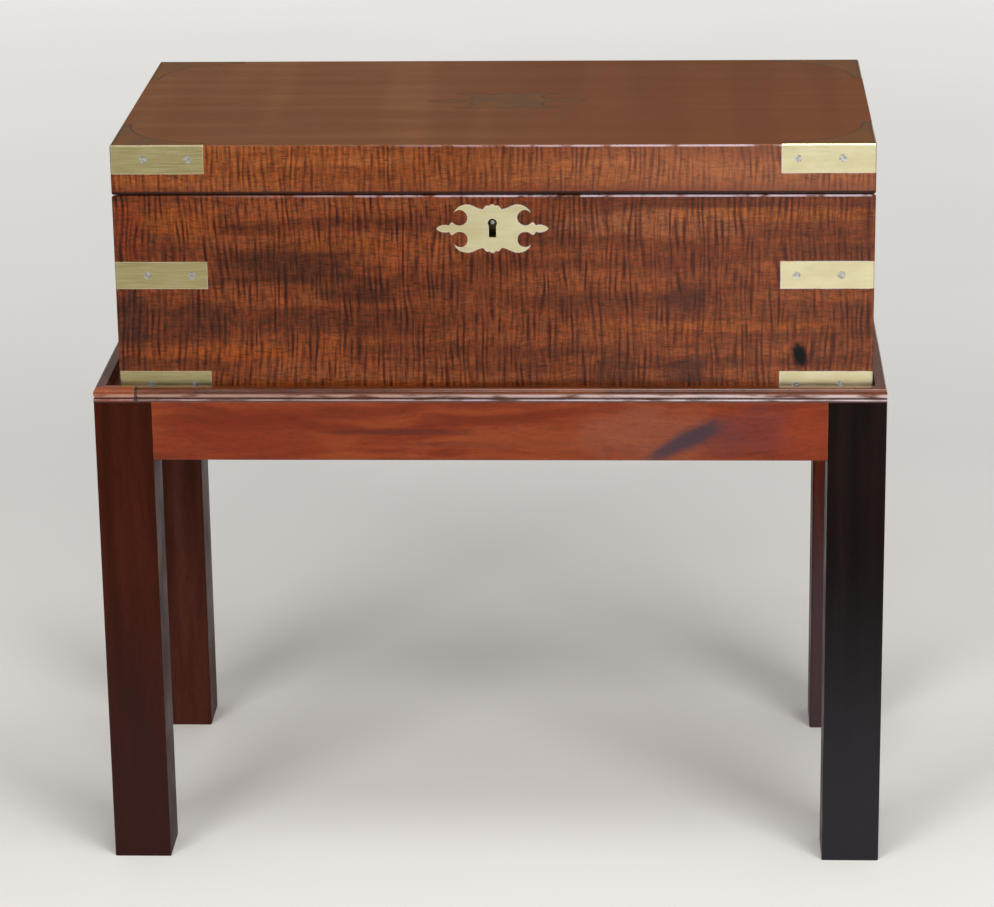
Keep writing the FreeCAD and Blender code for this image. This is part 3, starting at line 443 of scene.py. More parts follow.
def mahogany(name, grain, tones, areas=(), face=0.0, fibres=0.3, pores=0.5, gloss=0.24, shine=0.14,
             dulling=0.14, coat=0.05, swirl=5 * MM, band=(220 * MM, 15 * MM), worn="#9A6A48", wear=0.5,
             ripple=0.0, pitch=4.2 * MM):
    """French-polished mahogany; tones are three colours from the dark bands to the light ones.

    Areas are ovals of another tone on the board's front, at x and z, with their halves, in millimetres.
    They reach so little into the board that its back doesn't show them.
    Real pores are a fifth of a millimetre wide. They and the fibres are drawn four times as wide, to show.
    """
    finish = Finish(name, Specular_IOR_Level=shine, Coat_Weight=coat, Coat_Roughness=0.12)
    bent = swirled(finish, swirl, swirl_size)
    bands = marks(finish, bent, along(grain, *band), detail=4.0, low=0.30, high=0.70)
    finish.shade(bands, *tones)
    for x, z, half_x, half_z, colour, amount in areas:
        oval = (half_x * MM, area_reach, half_z * MM)
        finish.stain(spot(finish, (x * MM, face, z * MM), oval, ragged=0.45), amount, colour)

    fibre = marks(finish, bent, along(grain, fibre_length, fibre_width), detail=3.0, low=0.38, high=0.62)
    finish.stain(fibre, fibres, "#F0C8A8", "SOFT_LIGHT")
    dark_fibre = marks(finish, bent, along(grain, dark_fibre_length, fibre_width), low=0.50, high=0.66)
    finish.stain(dark_fibre, 0.6 * fibres, "#74482E", "MULTIPLY")
    height = rippled(finish, bent, grain, ripple, pitch) if ripple else fibre
    pore = marks(finish, bent, along(grain, pore_length, pore_width), detail=1.0, low=0.60, high=0.70)
    finish.stain(pore, pores, "#1A0B06")

    chips = marks(finish, finish.place, chip, detail=3.0, low=0.42, high=0.62)
    finish.rim = edges(finish, worn_edge)
    finish.stain(both(finish, finish.rim, chips), wear, worn)
    smears = marks(finish, finish.place, smear, detail=3.0)
    finish.link(Roughness=graded(finish, smears, gloss, gloss + dulling),
                Normal=relief(finish, height, 0.05 * MM, 0.4))
    return finish


print("pores in mm", round(pore_length / MM, 1), "by", round(pore_width / MM, 1))

# %% [markdown]
# ## The box's front
# A board this old is never one colour. The places below are the orange, red and nearly black
# areas of this one, each an oval with a ragged rim. They could be left to chance, but the eye knows
# this board by them, so each is listed. The middle is a little redder than the ends.

# %% Fiddleback walls
front_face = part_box("body_front")[0].y
front_areas = [
    (-215, 477, 38, 15, "#884917", 0.7),
    (-252, 471, 17, 28, "#74300D", 0.6),
    (-138, 446, 70, 22, "#301405", 0.7),
    (-89, 425, 36, 11, "#2F1204", 0.65),
    (-250, 408, 15, 30, "#301712", 0.65),
    (-205, 406, 32, 18, "#34170A", 0.5),
    (-180, 382, 82, 8, "#864412", 0.75),
    (-108, 383, 13, 16, "#7F4112", 0.6),
    (-89, 460, 76, 7, "#7A410A", 0.5),
    (190, 482, 110, 7, "#8E521E", 0.7),
    (165, 401, 130, 6, "#884B1A", 0.7),
    (85, 377, 44, 6, "#7F4417", 0.5),
    (139, 421, 22, 16, "#2F1514", 0.65),
    (90, 371, 20, 15, "#30170D", 0.55),
    (139, 369, 20, 13, "#2A1412", 0.65),
    (147, 443, 56, 24, "#522114", 0.4),
    (120, 476, 92, 14, "#8C5838", 0.6),
]
fiddleback = ("#532810", "#673415", "#7C4421")

# Fiddleback under polish: fine dark ripples that cross the grain, and a satin gloss that is smeared.
front_wood = mahogany("fiddleback mahogany front, French polished", "X", fiddleback, areas=front_areas,
                      face=front_face, fibres=0.6, ripple=0.95)
back_wood = mahogany("fiddleback mahogany back, French polished", "X", fiddleback, fibres=0.5, ripple=0.7)
side_wood = mahogany("fiddleback mahogany sides, French polished", "Y", fiddleback, fibres=0.5, ripple=0.7)
dress(["body_front"], front_wood)
dress(["body_back", "lid_back"], back_wood)
dress(["body_left", "body_right", "lid_left", "lid_right"], side_wood)
print("areas on the front", len(front_areas))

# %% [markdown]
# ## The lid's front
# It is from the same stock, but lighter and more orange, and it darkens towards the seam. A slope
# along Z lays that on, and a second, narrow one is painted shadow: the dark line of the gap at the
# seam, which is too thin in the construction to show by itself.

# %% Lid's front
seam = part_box("body_front")[1].z
darkening = (seam + 12 * MM, seam + 2 * MM)
painted_seam_shadow = (seam + 3.5 * MM, seam + 2.4 * MM)

# Fiddleback again, a little brighter: the same ripples over an orange ground.
lid_front_wood = mahogany("fiddleback mahogany lid front, French polished", "X",
                          ("#703A18", "#804820", "#90562C"), fibres=0.5, ripple=0.8, swirl=4 * MM)
lid_front_wood.stain(slope(lid_front_wood, lid_front_wood.place, "Z", *darkening), 0.4, "#5C2418")
dress(["lid_front"], lid_front_wood)

# %% [markdown]
# ## Bruises and the knot
# Polish has chipped along the seam and the top arris, mostly to the right of the middle. The pale
# violet there is partly the bruise of the bare wood and partly a painted highlight, the window light
# that the chipped edges catch. The chips could be cut into the mesh, but they are a tenth of a
# millimetre deep, so they are painted with their highlight: on the edges that Bevel finds, and in a
# thin band under each arris that the flaking breaks up. The polish is hazier on that side too. The
# knot at the lower right is one dark spot, laid on last.

# %% Bruised edges and the knot
bruise_and_highlight = "#DCCCD8"
hazy = "#A87A6A"
lid_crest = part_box("lid_front")[1].z
right_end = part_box("body_front")[1].x
for wood, haze, crest, chip_and_highlight_start in ((front_wood, 0.06, seam, -230 * MM),
                                      (lid_front_wood, 0.17, lid_crest, -120 * MM)):
    wood.stain(slope(wood, wood.place, "X", -60 * MM, 200 * MM), haze, hazy)
    highlit_rightward = both(wood, slope(wood, wood.place, "X", chip_and_highlight_start, chip_and_highlight_start + 280 * MM),
                     slope(wood, wood.place, "X", right_end - 1.5 * MM, right_end - 4 * MM))
    flakes_and_glints = marks(wood, wood.place, (14 * MM, 9 * MM, 30 * MM), detail=4.0, low=0.36, high=0.52)
    # Painted highlight on the chipped edges, over the pale bruise of the wood, stronger to the right.
    wood.stain(both(wood, wood.rim, highlit_rightward, flakes_and_glints), 0.8, bruise_and_highlight)
    # The same bruise and painted highlight in a thin band under each arris, on the front only.
    front_only = slope(wood, wood.place, "Y", front_face + 2.5 * MM, front_face + 1 * MM)
    under_arris = slope(wood, wood.place, "Z", crest - 1.5 * MM, crest - 0.9 * MM)
    wood.stain(both(wood, under_arris, highlit_rightward, flakes_and_glints, front_only), 0.5, bruise_and_highlight)
# Painted shadow: the dark line of the seam's gap.
lid_front_wood.stain(slope(lid_front_wood, lid_front_wood.place, "Z", *painted_seam_shadow), 0.9, "#1C0E0C")
knot = spot(front_wood, (218 * MM, front_face, 380.5 * MM), (7.4 * MM, area_reach, 13 * MM), ragged=0.25,
            lean=math.radians(12))
front_wood.stain(knot, 1.0, "#060505")
print("nodes in the front's finish", len(front_wood.tree.nodes))

# %% [markdown]
# ## The lid's top
# The top is plain wood, greyer on the left and redder on the right, rubbed dull by a century of
# cloths. A rough surface with hardly any gloss shows that better than any stain: what makes old
# polish look worn is that it no longer mirrors the room.

# %% Lid's top
# Worn polish: an even, dull brown that mirrors almost nothing.
top_wood = mahogany("plain mahogany lid, worn polish", "X", ("#734A2A", "#794E2E", "#805636"), fibres=0.14,
                    pores=0.12, gloss=0.44, dulling=0.05, shine=0.1, coat=0.0, band=(300 * MM, 18 * MM),
                    worn="#B89878")
top_wood.stain(slope(top_wood, top_wood.place, "X", -120 * MM, 120 * MM), 0.7, "#6E3A1A")
upright_bands = marks(top_wood, top_wood.place, (46 * MM, 500 * MM, 50 * MM), detail=1.0, low=0.4, high=0.6)
top_wood.stain(upright_bands, 0.28, "#5E3014")
dress(["lid_top"], top_wood)

# %% [markdown]
# ## The stand's rails
# The stand is later than the box, and its rails are redder, with long calm bands. Near the right end
# water has drawn iron stain into the wood, a blue-grey streak that leans. Two spots, one inside the
# other, give it a dark core and a soft rim.

# %% Rails
rail_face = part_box("rail_front")[0].y
rail_areas = [
    (-170, 326, 80, 26, "#641E08", 0.6),
    (-60, 327, 75, 3, "#4A2018", 0.6),
    (-20, 318, 60, 3, "#52241A", 0.5),
    (30, 322, 70, 14, "#844020", 0.55),
    (110, 325, 62, 28, "#7E4632", 0.7),
    (190, 328, 36, 26, "#642C28", 0.7),
    (162, 322, 26, 20, "#5E2E2C", 0.55),
    (224, 322, 28, 34, "#7E3218", 0.6),
]
rail_tones = ("#64240C", "#722D11", "#7E3818")
rail_figure = {"fibres": 0.24, "pores": 0.14, "swirl": 12 * MM, "band": (90 * MM, 8 * MM)}
water_place = (139 * MM, rail_face, 321 * MM)
water_lean = math.radians(28)

# Straight-grained red stock: calm long bands of tone and a soft shine.
rail_wood = mahogany("red mahogany rails, French polished", "X", rail_tones, areas=rail_areas,
                     face=rail_face, **rail_figure)
side_rail_wood = mahogany("red mahogany side rails, French polished", "Y", rail_tones, **rail_figure)
for half_length, half_width, amount in ((44, 11, 0.5), (36, 7, 0.75)):
    water = spot(rail_wood, water_place, (half_length * MM, area_reach, half_width * MM), ragged=0.35,
                 lean=water_lean)
    rail_wood.stain(water, amount, "#342C36")
dress(["rail_front", "rail_back", "corner_braces"], rail_wood)
dress(["rail_left", "rail_right"], side_rail_wood)

# %% [markdown]
# ## The rim moulding
# The moulding holds the box in place. Every cloth that wipes the stand runs along its nose, so the
# nose and the fillet under it are worn pale, and both carry a painted highlight, the line of window
# light along them, which grows to the right. The quirk between them and the foot of the fillet are
# painted dark as shade. Heights on the profile are known, so thin bands along Z lay these on. A
# darker band across the moulding is the joint of the short let-in length at the left corner.

# %% Rim moulding
rim_tones = ("#48200A", "#5A2A0E", "#683414")
rim_polish = {"gloss": 0.16, "shine": 0.4, "coat": 0.4, "band": (90 * MM, 6 * MM), "wear": 0.15}
rim_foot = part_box("moulding_front")[0].z
fillet_top = rim_foot + 2.2 * MM
quirk_top = fillet_top + 0.7 * MM
patch_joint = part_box("moulding_front_patch")[1].x


def band(finish, axis, low, high, soft=0.2 * MM):
    """1 between two places along an axis."""
    return both(finish, slope(finish, finish.place, axis, low - soft, low + soft),
                slope(finish, finish.place, axis, high + soft, high - soft))


# The brightest polish on the stand: a wet-looking line of light along the nose, partly a painted highlight.
rim_wood = mahogany("mahogany rim moulding, French polished", "X", rim_tones, **rim_polish)
side_rim_wood = mahogany("mahogany side moulding, French polished", "Y", rim_tones, **rim_polish)
patch_wood = mahogany("let-in mahogany patch, French polished", "X", ("#74320C", "#843C10", "#8E4818"),
                      gloss=0.2, shine=0.4, coat=0.3)
for wood in (rim_wood, side_rim_wood, patch_wood):
    rubbed_and_highlit = marks(wood, wood.place, (22 * MM, 22 * MM, 3 * MM), detail=4.0, low=0.3, high=0.55)
    highlit_rightward = slope(wood, wood.place, "X", -150 * MM, 180 * MM)
    nose = band(wood, "Z", quirk_top + 0.5 * MM, quirk_top + 2.8 * MM, 0.6 * MM)
    # Painted highlight along the nose, over polish worn pale; the second coat makes it stronger to the
    # right.
    wood.stain(both(wood, nose, rubbed_and_highlit), 0.68, "#B48C7C")
    wood.stain(both(wood, nose, rubbed_and_highlit, highlit_rightward), 0.65, "#D2C2C6")
    # The fillet is worn pale too, with a painted highlight that grows to the right.
    fillet = band(wood, "Z", fillet_top - 1.1 * MM, fillet_top)
    wood.stain(both(wood, fillet, rubbed_and_highlit), 0.7, "#A88E92")
    wood.stain(both(wood, fillet, rubbed_and_highlit, highlit_rightward), 0.6, "#D0C4CA")
    # Painted shade in the recess of the quirk.
    wood.stain(band(wood, "Z", fillet_top, quirk_top + 0.2 * MM, 0.1 * MM), 0.9, "#1A0C09")
    # Painted shadow at the foot of the fillet, where the moulding meets the rail.
    wood.stain(band(wood, "Z", rim_foot - 1 * MM, fillet_top - 1.2 * MM), 0.85, "#3A1A14")
    wood.stain(band(wood, "X", patch_joint - 0.9 * MM, patch_joint + 1.1 * MM, 0.3 * MM), 0.85, "#1A0C09")
print("quirk in mm above the floor", round(fillet_top / MM, 1))

# %% [markdown]
# ## The legs
# The legs are stained much darker than the rails, each in its own tone, and the feet of three are
# greyed by a painted reflection of the pale floor. They could share one material, but then all would
# be alike. So a loop makes four from one function, and a slope down the leg lays the painted grey on.

# %% Legs
leg_tones = {
    "leg_front_left": ("#2A0D03", "#331105", "#3D170A"),
    "leg_front_right": ("#0E0806", "#120B09", "#19100D"),
    "leg_back_left": ("#34180F", "#3F1F17", "#48271D"),
    "leg_back_right": ("#3E160A", "#501F10", "#5C2A18"),
}
leg_floor_reflection = {
    "leg_front_left": (300 * MM, 40 * MM, 0.8, "#301A18"),
    "leg_front_right": (260 * MM, 20 * MM, 0.85, "#2D2B30"),
    "leg_back_right": (240 * MM, 100 * MM, 0.85, "#44363A"),
}

# Stained legs: nearly black where the stain lies thick, with little grain and no mirror shine.
for leg, tones in leg_tones.items():
    leg_wood = mahogany(leg.replace("_", " ") + " in dark mahogany, French polished", "Z", tones,
                        fibres=0.2, pores=0.15, gloss=0.32, shine=0.05, coat=0.0,
                        band=(200 * MM, 12 * MM), worn="#5A2A18", wear=0.35)
    # Painted reflection of the pale floor, greying the leg towards its foot.
    if leg in leg_floor_reflection:
        reflection_top, reflection_foot, amount, colour = leg_floor_reflection[leg]
        leg_wood.stain(slope(leg_wood, leg_wood.place, "Z", reflection_top, reflection_foot), amount, colour)
    dress([leg], leg_wood)

# %% [markdown]
# ## The inside
# The boards inside the box were planed and waxed, but not polished: no one but the owner saw them.
# They could have a wood of their own, but it is the same mahogany, so the same function makes it,
# with more roughness and fewer worn edges.

# %% Inside
# Wax leaves the pores open: warm brown with a broad, weak sheen.
inside_wood = mahogany("mahogany interior, waxed", "X", ("#5A2C18", "#7C4226", "#925433"), gloss=0.42,
                       wear=0.2)
dress(["bottom_board", "tray_partition", "tray_shelf", "inkwell_partitions", "body_ledges",
       "upper_writing_board", "lower_writing_board", "lid_ledges"], inside_wood)

# %% [markdown]
# ## Brass
# The straps are sheet brass, filed flush with the wood and rubbed level, so their scratches are long
# and lie flat. An anisotropic shader could stretch the highlight, but on flat plates that are seen
# from all round the scratches themselves look truer. The brass runs from olive on the left to pale on
# the right, partly cleaner brass and partly painted reflection, brighter where reflections fall. The
# bright rims are a painted highlight. On top of the lid the brass has its old patina, darkened with a
# painted reflection of a dark room, and a dark line runs round the edge of its top.

# %% Brass
scratch_length = 26 * MM
scratch_width = 0.6 * MM
tarnish_cloud = (26 * MM, 26 * MM, 12 * MM)
highlight_rim_width = 0.6 * MM
top_edge_line = 4.0 * MM


def brass(name, left, right, rough=0.36, painted_rim_highlight=0.8, top=None):
    """Brass from its colour on the left of the box to its colour on the right, partly painted light.

    Real scratches are finer than a hair. These are drawn 0.6 mm wide, so that they show.
    """
    finish = Finish(name, Metallic=1.0)
    # Paler to the right: partly cleaner brass, partly painted reflection, brighter where reflections fall.
    finish.shade(slope(finish, finish.place, "X", -200 * MM, 130 * MM), left, right)
    clouds = marks(finish, finish.place, tarnish_cloud, detail=3.0, low=0.3, high=0.7)
    finish.stain(clouds, 0.3, "#D2C696", "MULTIPLY")
    scratches = marks(finish, finish.place, (scratch_length, scratch_length, scratch_width), low=0.3,
                      high=0.7)
    finish.stain(scratches, 0.14, "#FFF6D0")
    # Painted highlight on the rims.
    finish.stain(edges(finish, highlight_rim_width), painted_rim_highlight, "#FFFCEC")
    if top:
        facing_up = slope(finish, finish.normal, "Z", 0.8, 0.95)
        # Where it faces up: patina, and a painted reflection of a dark room, browner and darker.
        finish.stain(facing_up, 1.0, top)
        # A dark line round the edge of the top.
        finish.stain(both(finish, facing_up, edges(finish, top_edge_line)), 0.9, "#1C1008")
    finish.link(Roughness=graded(finish, scratches, rough, rough + 0.14),
                Normal=relief(finish, scratches, 0.02 * MM, 0.4))
    return finish


# Rubbed sheet brass is pale straw, with level hairlines and filed rims that carry a painted highlight;
# its top is patina with a painted reflection. Cast fittings are a deeper yellow, and smoother, with
# softer painted rim highlights.
strap_brass = brass("brushed sheet brass", "#9E9468", "#E4DDB6", top="#9A6430")
fitting_brass = brass("cast brass fittings", "#C4A860", "#D2B870", rough=0.3, painted_rim_highlight=0.4)
dress(["middle_straps", "bottom_straps", "escutcheon", "cartouche", "corner_plate_front_left",
       "corner_plate_front_right", "corner_plate_back_left", "corner_plate_back_right"], strap_brass)
dress(["link_plate", "hinge_leaves_body", "hinge_leaves_lid", "hinge_pins"], fitting_brass)

# %% [markdown]
# ## The lock
# The lock is painted nearly black round its key way as painted shade, the dark of the hollow behind
# the keyhole, but not the plate that is seen from inside the box. The lock is one node, so two slopes
# keep the painted shade away from its back and from its top plate.

# %% Lock
lock_low, lock_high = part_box("lock_case")
shaded_depth = (lock_high.y - 0.5 * MM, lock_high.y - 1.1 * MM)
shaded_height = (lock_high.z - 3.5 * MM, lock_high.z - 6.5 * MM)

# Cast brass outside and painted shade inside: the keyhole reads as a hole.
lock_brass = brass("cast brass lock, painted shade inside", "#C4A860", "#D2B870", rough=0.3, painted_rim_highlight=0.3)
keyhole_shade = slope(lock_brass, lock_brass.place, "Y", *shaded_depth)
below_plate = slope(lock_brass, lock_brass.place, "Z", *shaded_height)
lock_brass.stain(both(lock_brass, keyhole_shade, below_plate), 0.96, "#0E0B09")
dress(["lock_case"], lock_brass)

# %% [markdown]
# ## Steel
# The screws, the bolt and the drill pin are old steel, filed or turned. Rust could be painted on,
# but this steel has been kept oiled and has only dulled in spots, so one fine noise drives both its
# tone and its gloss.

# %% Steel
freckle = 1.6 * MM


def steel(name, dull, bright, rough):
    """Old steel from its dull spots to its bright ground."""
    finish = Finish(name, Metallic=1.0)
    spots = marks(finish, finish.place, (freckle,) * 3, detail=3.0)
    finish.shade(spots, dull, bright)
    finish.link(Roughness=graded(finish, spots, rough, rough + 0.15))
    return finish


# Filed steel is pale grey with dull freckles, darker on the left. The lock's steel is oiled and dark.
screw_steel = steel("filed steel screws", "#A6A49C", "#DAD8D0", 0.4)
screw_steel.stain(slope(screw_steel, screw_steel.place, "X", 130 * MM, -200 * MM), 0.5, "#7C7A70")
lock_steel = steel("oiled lock steel", "#5C5A56", "#8C8A84", 0.3)
dress(["lock_bolt"], lock_steel)

# %% [markdown]
# ## Leather and glass
# The two writing boards are covered in skiver, thin sheepskin dyed green and glazed. It is darker
# where hands have rested. Plain noise could give it a relief, but Voronoi cells have the rounded
# bumps and sharp creases of skin. The inkwells are thick clear glass.

# %% Leather and glass
pebble = 1.1 * MM

# Glazed skiver: a fine pebble with a waxy shine. Real pebble is about half as coarse; this shows.
leather = Finish("glazed green skiver", Specular_IOR_Level=0.3)
skin_cells = add(leather.tree, "ShaderNodeTexVoronoi", {"Vector": leather.place, "Scale": 1 / pebble})
handled = marks(leather, leather.place, (120 * MM, 60 * MM, 60 * MM), detail=4.0, low=0.2, high=0.8)
leather.shade(handled, "#173224", "#28452F")
leather.link(Normal=relief(leather, skin_cells, 0.12 * MM, 0.6),
             Roughness=graded(leather, handled, 0.4, 0.5))
dress(["upper_leather", "lower_leather"], leather)

# Pressed glass: clear, with a breath of green where it is thick.
glass = Finish("thick clear inkwell glass", Transmission_Weight=1.0, Roughness=0.04,
               Base_Color=srgb("#E4F0EA"))

# %% [markdown]
# ## Smooth copies
# The construction draws curves with few flat facets. They could be subdivided, but that would also
# round the edges that are sharp. Instead a copy with its triangles joined stands for the node:
# neighbouring facets that meet at a shallow angle are shaded as one curve, and real edges stay
# sharp. The construction's own mesh is never changed.

# %% Copies shaded as curves
same_point = 0.004 * MM
same_plane = math.radians(0.5)
shallow = math.radians(35)


def welded(node_name):
    """A copy of a node's mesh with its loose triangles joined."""
    mesh = bmesh.new()
    mesh.from_mesh(nodes[node_name].data)
    bmesh.ops.remove_doubles(mesh, verts=mesh.verts, dist=same_point)
    return mesh


def curved(name, mesh, finish):
    """An object from an edited mesh, shaded as curves, with its sharp edges kept."""
    data = bpy.data.meshes.new(name)
    mesh.to_mesh(data)
    mesh.free()
    data.materials.append(finish.material)
    data.shade_smooth()
    data.set_sharp_from_angle(angle=shallow)
    piece = bpy.data.objects.new(name, data)
    scene.collection.objects.link(piece)
    print(name, "faces", len(data.polygons))
    return piece


def stand_in(piece, node_name):
    """The piece stands for a node: it rides the same body, and the node is hidden."""
    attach(piece, body_of[node_name])
    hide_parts(node_name)


for node_name, finish in (
        ("moulding_front", rim_wood), ("moulding_back", rim_wood), ("moulding_left", side_rim_wood),
        ("moulding_right", side_rim_wood), ("moulding_front_patch", patch_wood), ("pen_tray", inside_wood),
        ("handle_plate_left", fitting_brass), ("handle_plate_right", fitting_brass), ("inkwells", glass)):
    joined_mesh = welded(node_name)
    bmesh.ops.dissolve_limit(joined_mesh, angle_limit=same_plane, verts=joined_mesh.verts,
                             edges=joined_mesh.edges)
    stand_in(curved(node_name + "_smooth", joined_mesh, finish), node_name)

# %% [markdown]
# ## Slotted screws
# Sixty steel screws hold the brass, and four more hold the stand's corner braces. Each has a flat
# countersunk head, filed flush, with a slot that points any way. They could be copied one by one,
# but a point with a direction is all that a screw needs. So Geometry Nodes put one head, cut once,
# on every point, turn each by a random angle from a fixed seed and make them real.

# %% Screw tree


def screw_tree():
    """Nodes that put a slotted head on each point, square to the point's facing attribute."""
    tree = bpy.data.node_groups.new("slotted_screws", "GeometryNodeTree")
    for name, kind in (("Points", "NodeSocketGeometry"), ("Head Radius", "NodeSocketFloat"),
                       ("Head Height", "NodeSocketFloat"), ("Proud", "NodeSocketFloat"),
                       ("Slot Width", "NodeSocketFloat"), ("Slot Depth", "NodeSocketFloat"),
                       ("Seed", "NodeSocketInt"), ("Metal", "NodeSocketMaterial")):
        tree.interface.new_socket(name=name, in_out="INPUT", socket_type=kind)
    tree.interface.new_socket(name="Screws", in_out="OUTPUT", socket_type="NodeSocketGeometry")
    given = tree.nodes.new("NodeGroupInput").outputs

    neck = add(tree, "ShaderNodeMath", {0: given["Head Radius"], 1: 0.5}, operation="MULTIPLY")
    cone = add(tree, "GeometryNodeMeshCone", {"Vertices": 24, "Radius Top": given["Head Radius"],
                                              "Radius Bottom": neck, "Depth": given["Head Height"]})
    sunk = add(tree, "ShaderNodeMath", {0: given["Proud"], 1: given["Head Height"]}, operation="SUBTRACT")
    down = add(tree, "ShaderNodeCombineXYZ", {"Z": sunk})
    head = add(tree, "GeometryNodeTransform", {"Geometry": cone, "Translation": down})

    across = add(tree, "ShaderNodeMath", {0: given["Head Radius"], 1: 3.0}, operation="MULTIPLY")
    deep = add(tree, "ShaderNodeMath", {0: given["Slot Depth"], 1: 2.0}, operation="MULTIPLY")
    block = add(tree, "ShaderNodeCombineXYZ", {"X": across, "Y": given["Slot Width"], "Z": deep})
    cutter = add(tree, "GeometryNodeMeshCube", {"Size": block})
    top = add(tree, "ShaderNodeCombineXYZ", {"Z": given["Proud"]})
    cutter = add(tree, "GeometryNodeTransform", {"Geometry": cutter, "Translation": top})
    slotted = add(tree, "GeometryNodeMeshBoolean", {"Mesh 1": head, "Mesh 2": cutter},
                  operation="DIFFERENCE")

    facing = add(tree, "GeometryNodeInputNamedAttribute", {"Name": "facing"}, data_type="FLOAT_VECTOR")
    square = add(tree, "FunctionNodeAlignRotationToVector", {"Vector": facing}, axis="Z")
    angle = add(tree, "FunctionNodeRandomValue", {2: 0.0, 3: math.tau, "Seed": given["Seed"]}, out=1,
                data_type="FLOAT")
    turn = add(tree, "FunctionNodeAxisAngleToRotation", {"Axis": (0, 0, 1), "Angle": angle})
    spun = add(tree, "FunctionNodeRotateRotation", {"Rotation": square, "Rotate By": turn},
               rotation_space="LOCAL")
    placed = add(tree, "GeometryNodeInstanceOnPoints",
                 {"Points": given["Points"], "Instance": slotted, "Rotation": spun})
    solid = add(tree, "GeometryNodeRealizeInstances", {"Geometry": placed})
    painted = add(tree, "GeometryNodeSetMaterial", {"Geometry": solid, "Material": given["Metal"]})
    tree.links.new(painted, tree.nodes.new("NodeGroupOutput").inputs["Screws"])
    return tree


slotted_screws = screw_tree()
print("nodes in the screw tree", len(slotted_screws.nodes))

# %% [markdown]
# ## Growing a mesh from points
# A node tree runs as a modifier on some host object. It could stay live, but then every program that
# opens the model would have to run it again. So its result is taken as a plain mesh, and the host
# goes.

# %% Points in, plain mesh out


def point_mesh(name, places):
    """Loose points that remember which way they face."""
    mesh = bpy.data.meshes.new(name)
    mesh.from_pydata([place for place, _ in places], [], [])
    facing = mesh.attributes.new("facing", "FLOAT_VECTOR", "POINT")
    for item, (_, outward) in zip(facing.data, places):
        item.vector = outward
    return mesh


def grown(name, places, tree, values):
    """Runs a node tree on some places and returns its result as a plain mesh object."""
    host = bpy.data.objects.new(name + "_points", point_mesh(name + "_places", places))
    scene.collection.objects.link(host)
    modifier = host.modifiers.new("nodes", "NODES")
    modifier.node_group = tree
    sockets = {item.name: item.identifier for item in tree.interface.items_tree if item.in_out == "INPUT"}
    for key, value in values.items():
        modifier[sockets[key]] = value
    ready = host.evaluated_get(bpy.context.evaluated_depsgraph_get())
    piece = bpy.data.objects.new(name, bpy.data.meshes.new_from_object(ready))
    bpy.data.objects.remove(host)
    scene.collection.objects.link(piece)
    print(name, "places", len(places), "faces", len(piece.data.polygons))
    return piece


print("inputs of a screw", [item.name for item in slotted_screws.interface.items_tree][1:])

# %% [markdown]
# ## Where the screws are
# The construction holds each screw as a separate solid. Its places could be typed in again, but
# then they would be wrong as soon as a strap moved. Instead each solid is found as an island of the
# mesh: its point lies furthest from its middle, and its head is at the other end. The islands are
# taken in the mesh's own order, so each screw has the same turn of its slot every time.

# %% Screws


def screws_of(node_name):
    """The head's middle and the outward direction of every screw in a node, always in one order."""
    mesh = welded(node_name)
    taken = set()
    found = []
    for first in mesh.verts:
        if first in taken:
            continue
        taken.add(first)
        island = [first]
        for vert in island:
            for edge in vert.link_edges:
                other = edge.other_vert(vert)
                if other not in taken:
                    taken.add(other)
                    island.append(other)
        points = [v.co.copy() for v in island]
        middle = sum(points, Vector()) / len(points)
        tip = max(points, key=lambda p: (p - middle).length)
        outward = (middle - tip).normalized()
        reach = max((p - tip).dot(outward) for p in points)
        found.append((tip + outward * reach, outward))
    mesh.free()
    return found


head_proud = 0.08 * MM
strap_screw = {"Head Radius": 2.78 * MM, "Head Height": 1.2 * MM, "Slot Width": 0.7 * MM,
               "Slot Depth": 0.5 * MM}
small_screw = {"Head Radius": 1.98 * MM, "Head Height": 1.0 * MM, "Slot Width": 0.5 * MM,
               "Slot Depth": 0.4 * MM}
brace_screw = {"Head Radius": 4.1 * MM, "Head Height": 2.3 * MM, "Slot Width": 1.0 * MM,
               "Slot Depth": 0.9 * MM}
for seed, (node_name, sizes) in enumerate((
        ("body_strap_screws", strap_screw), ("lid_strap_screws", strap_screw),
        ("body_small_screws", small_screw), ("lid_small_screws", small_screw),
        ("corner_brace_screws", brace_screw))):
    heads = grown(node_name + "_slotted", screws_of(node_name), slotted_screws,
                  {**sizes, "Proud": head_proud, "Seed": seed, "Metal": screw_steel.material})
    stand_in(heads, node_name)

# %% [markdown]
# ## Gilt tooling
# A bookbinder's hot wheel and a small stamp press gold leaf into the skiver round each board: two
# fine lines with a row of lozenges between them. It could be a painted pattern, but as geometry it
# catches the light when the lid swings. One tree draws the whole border on a single point in the
# middle of the leather, tilted as the board is.

# %% Tooling tree


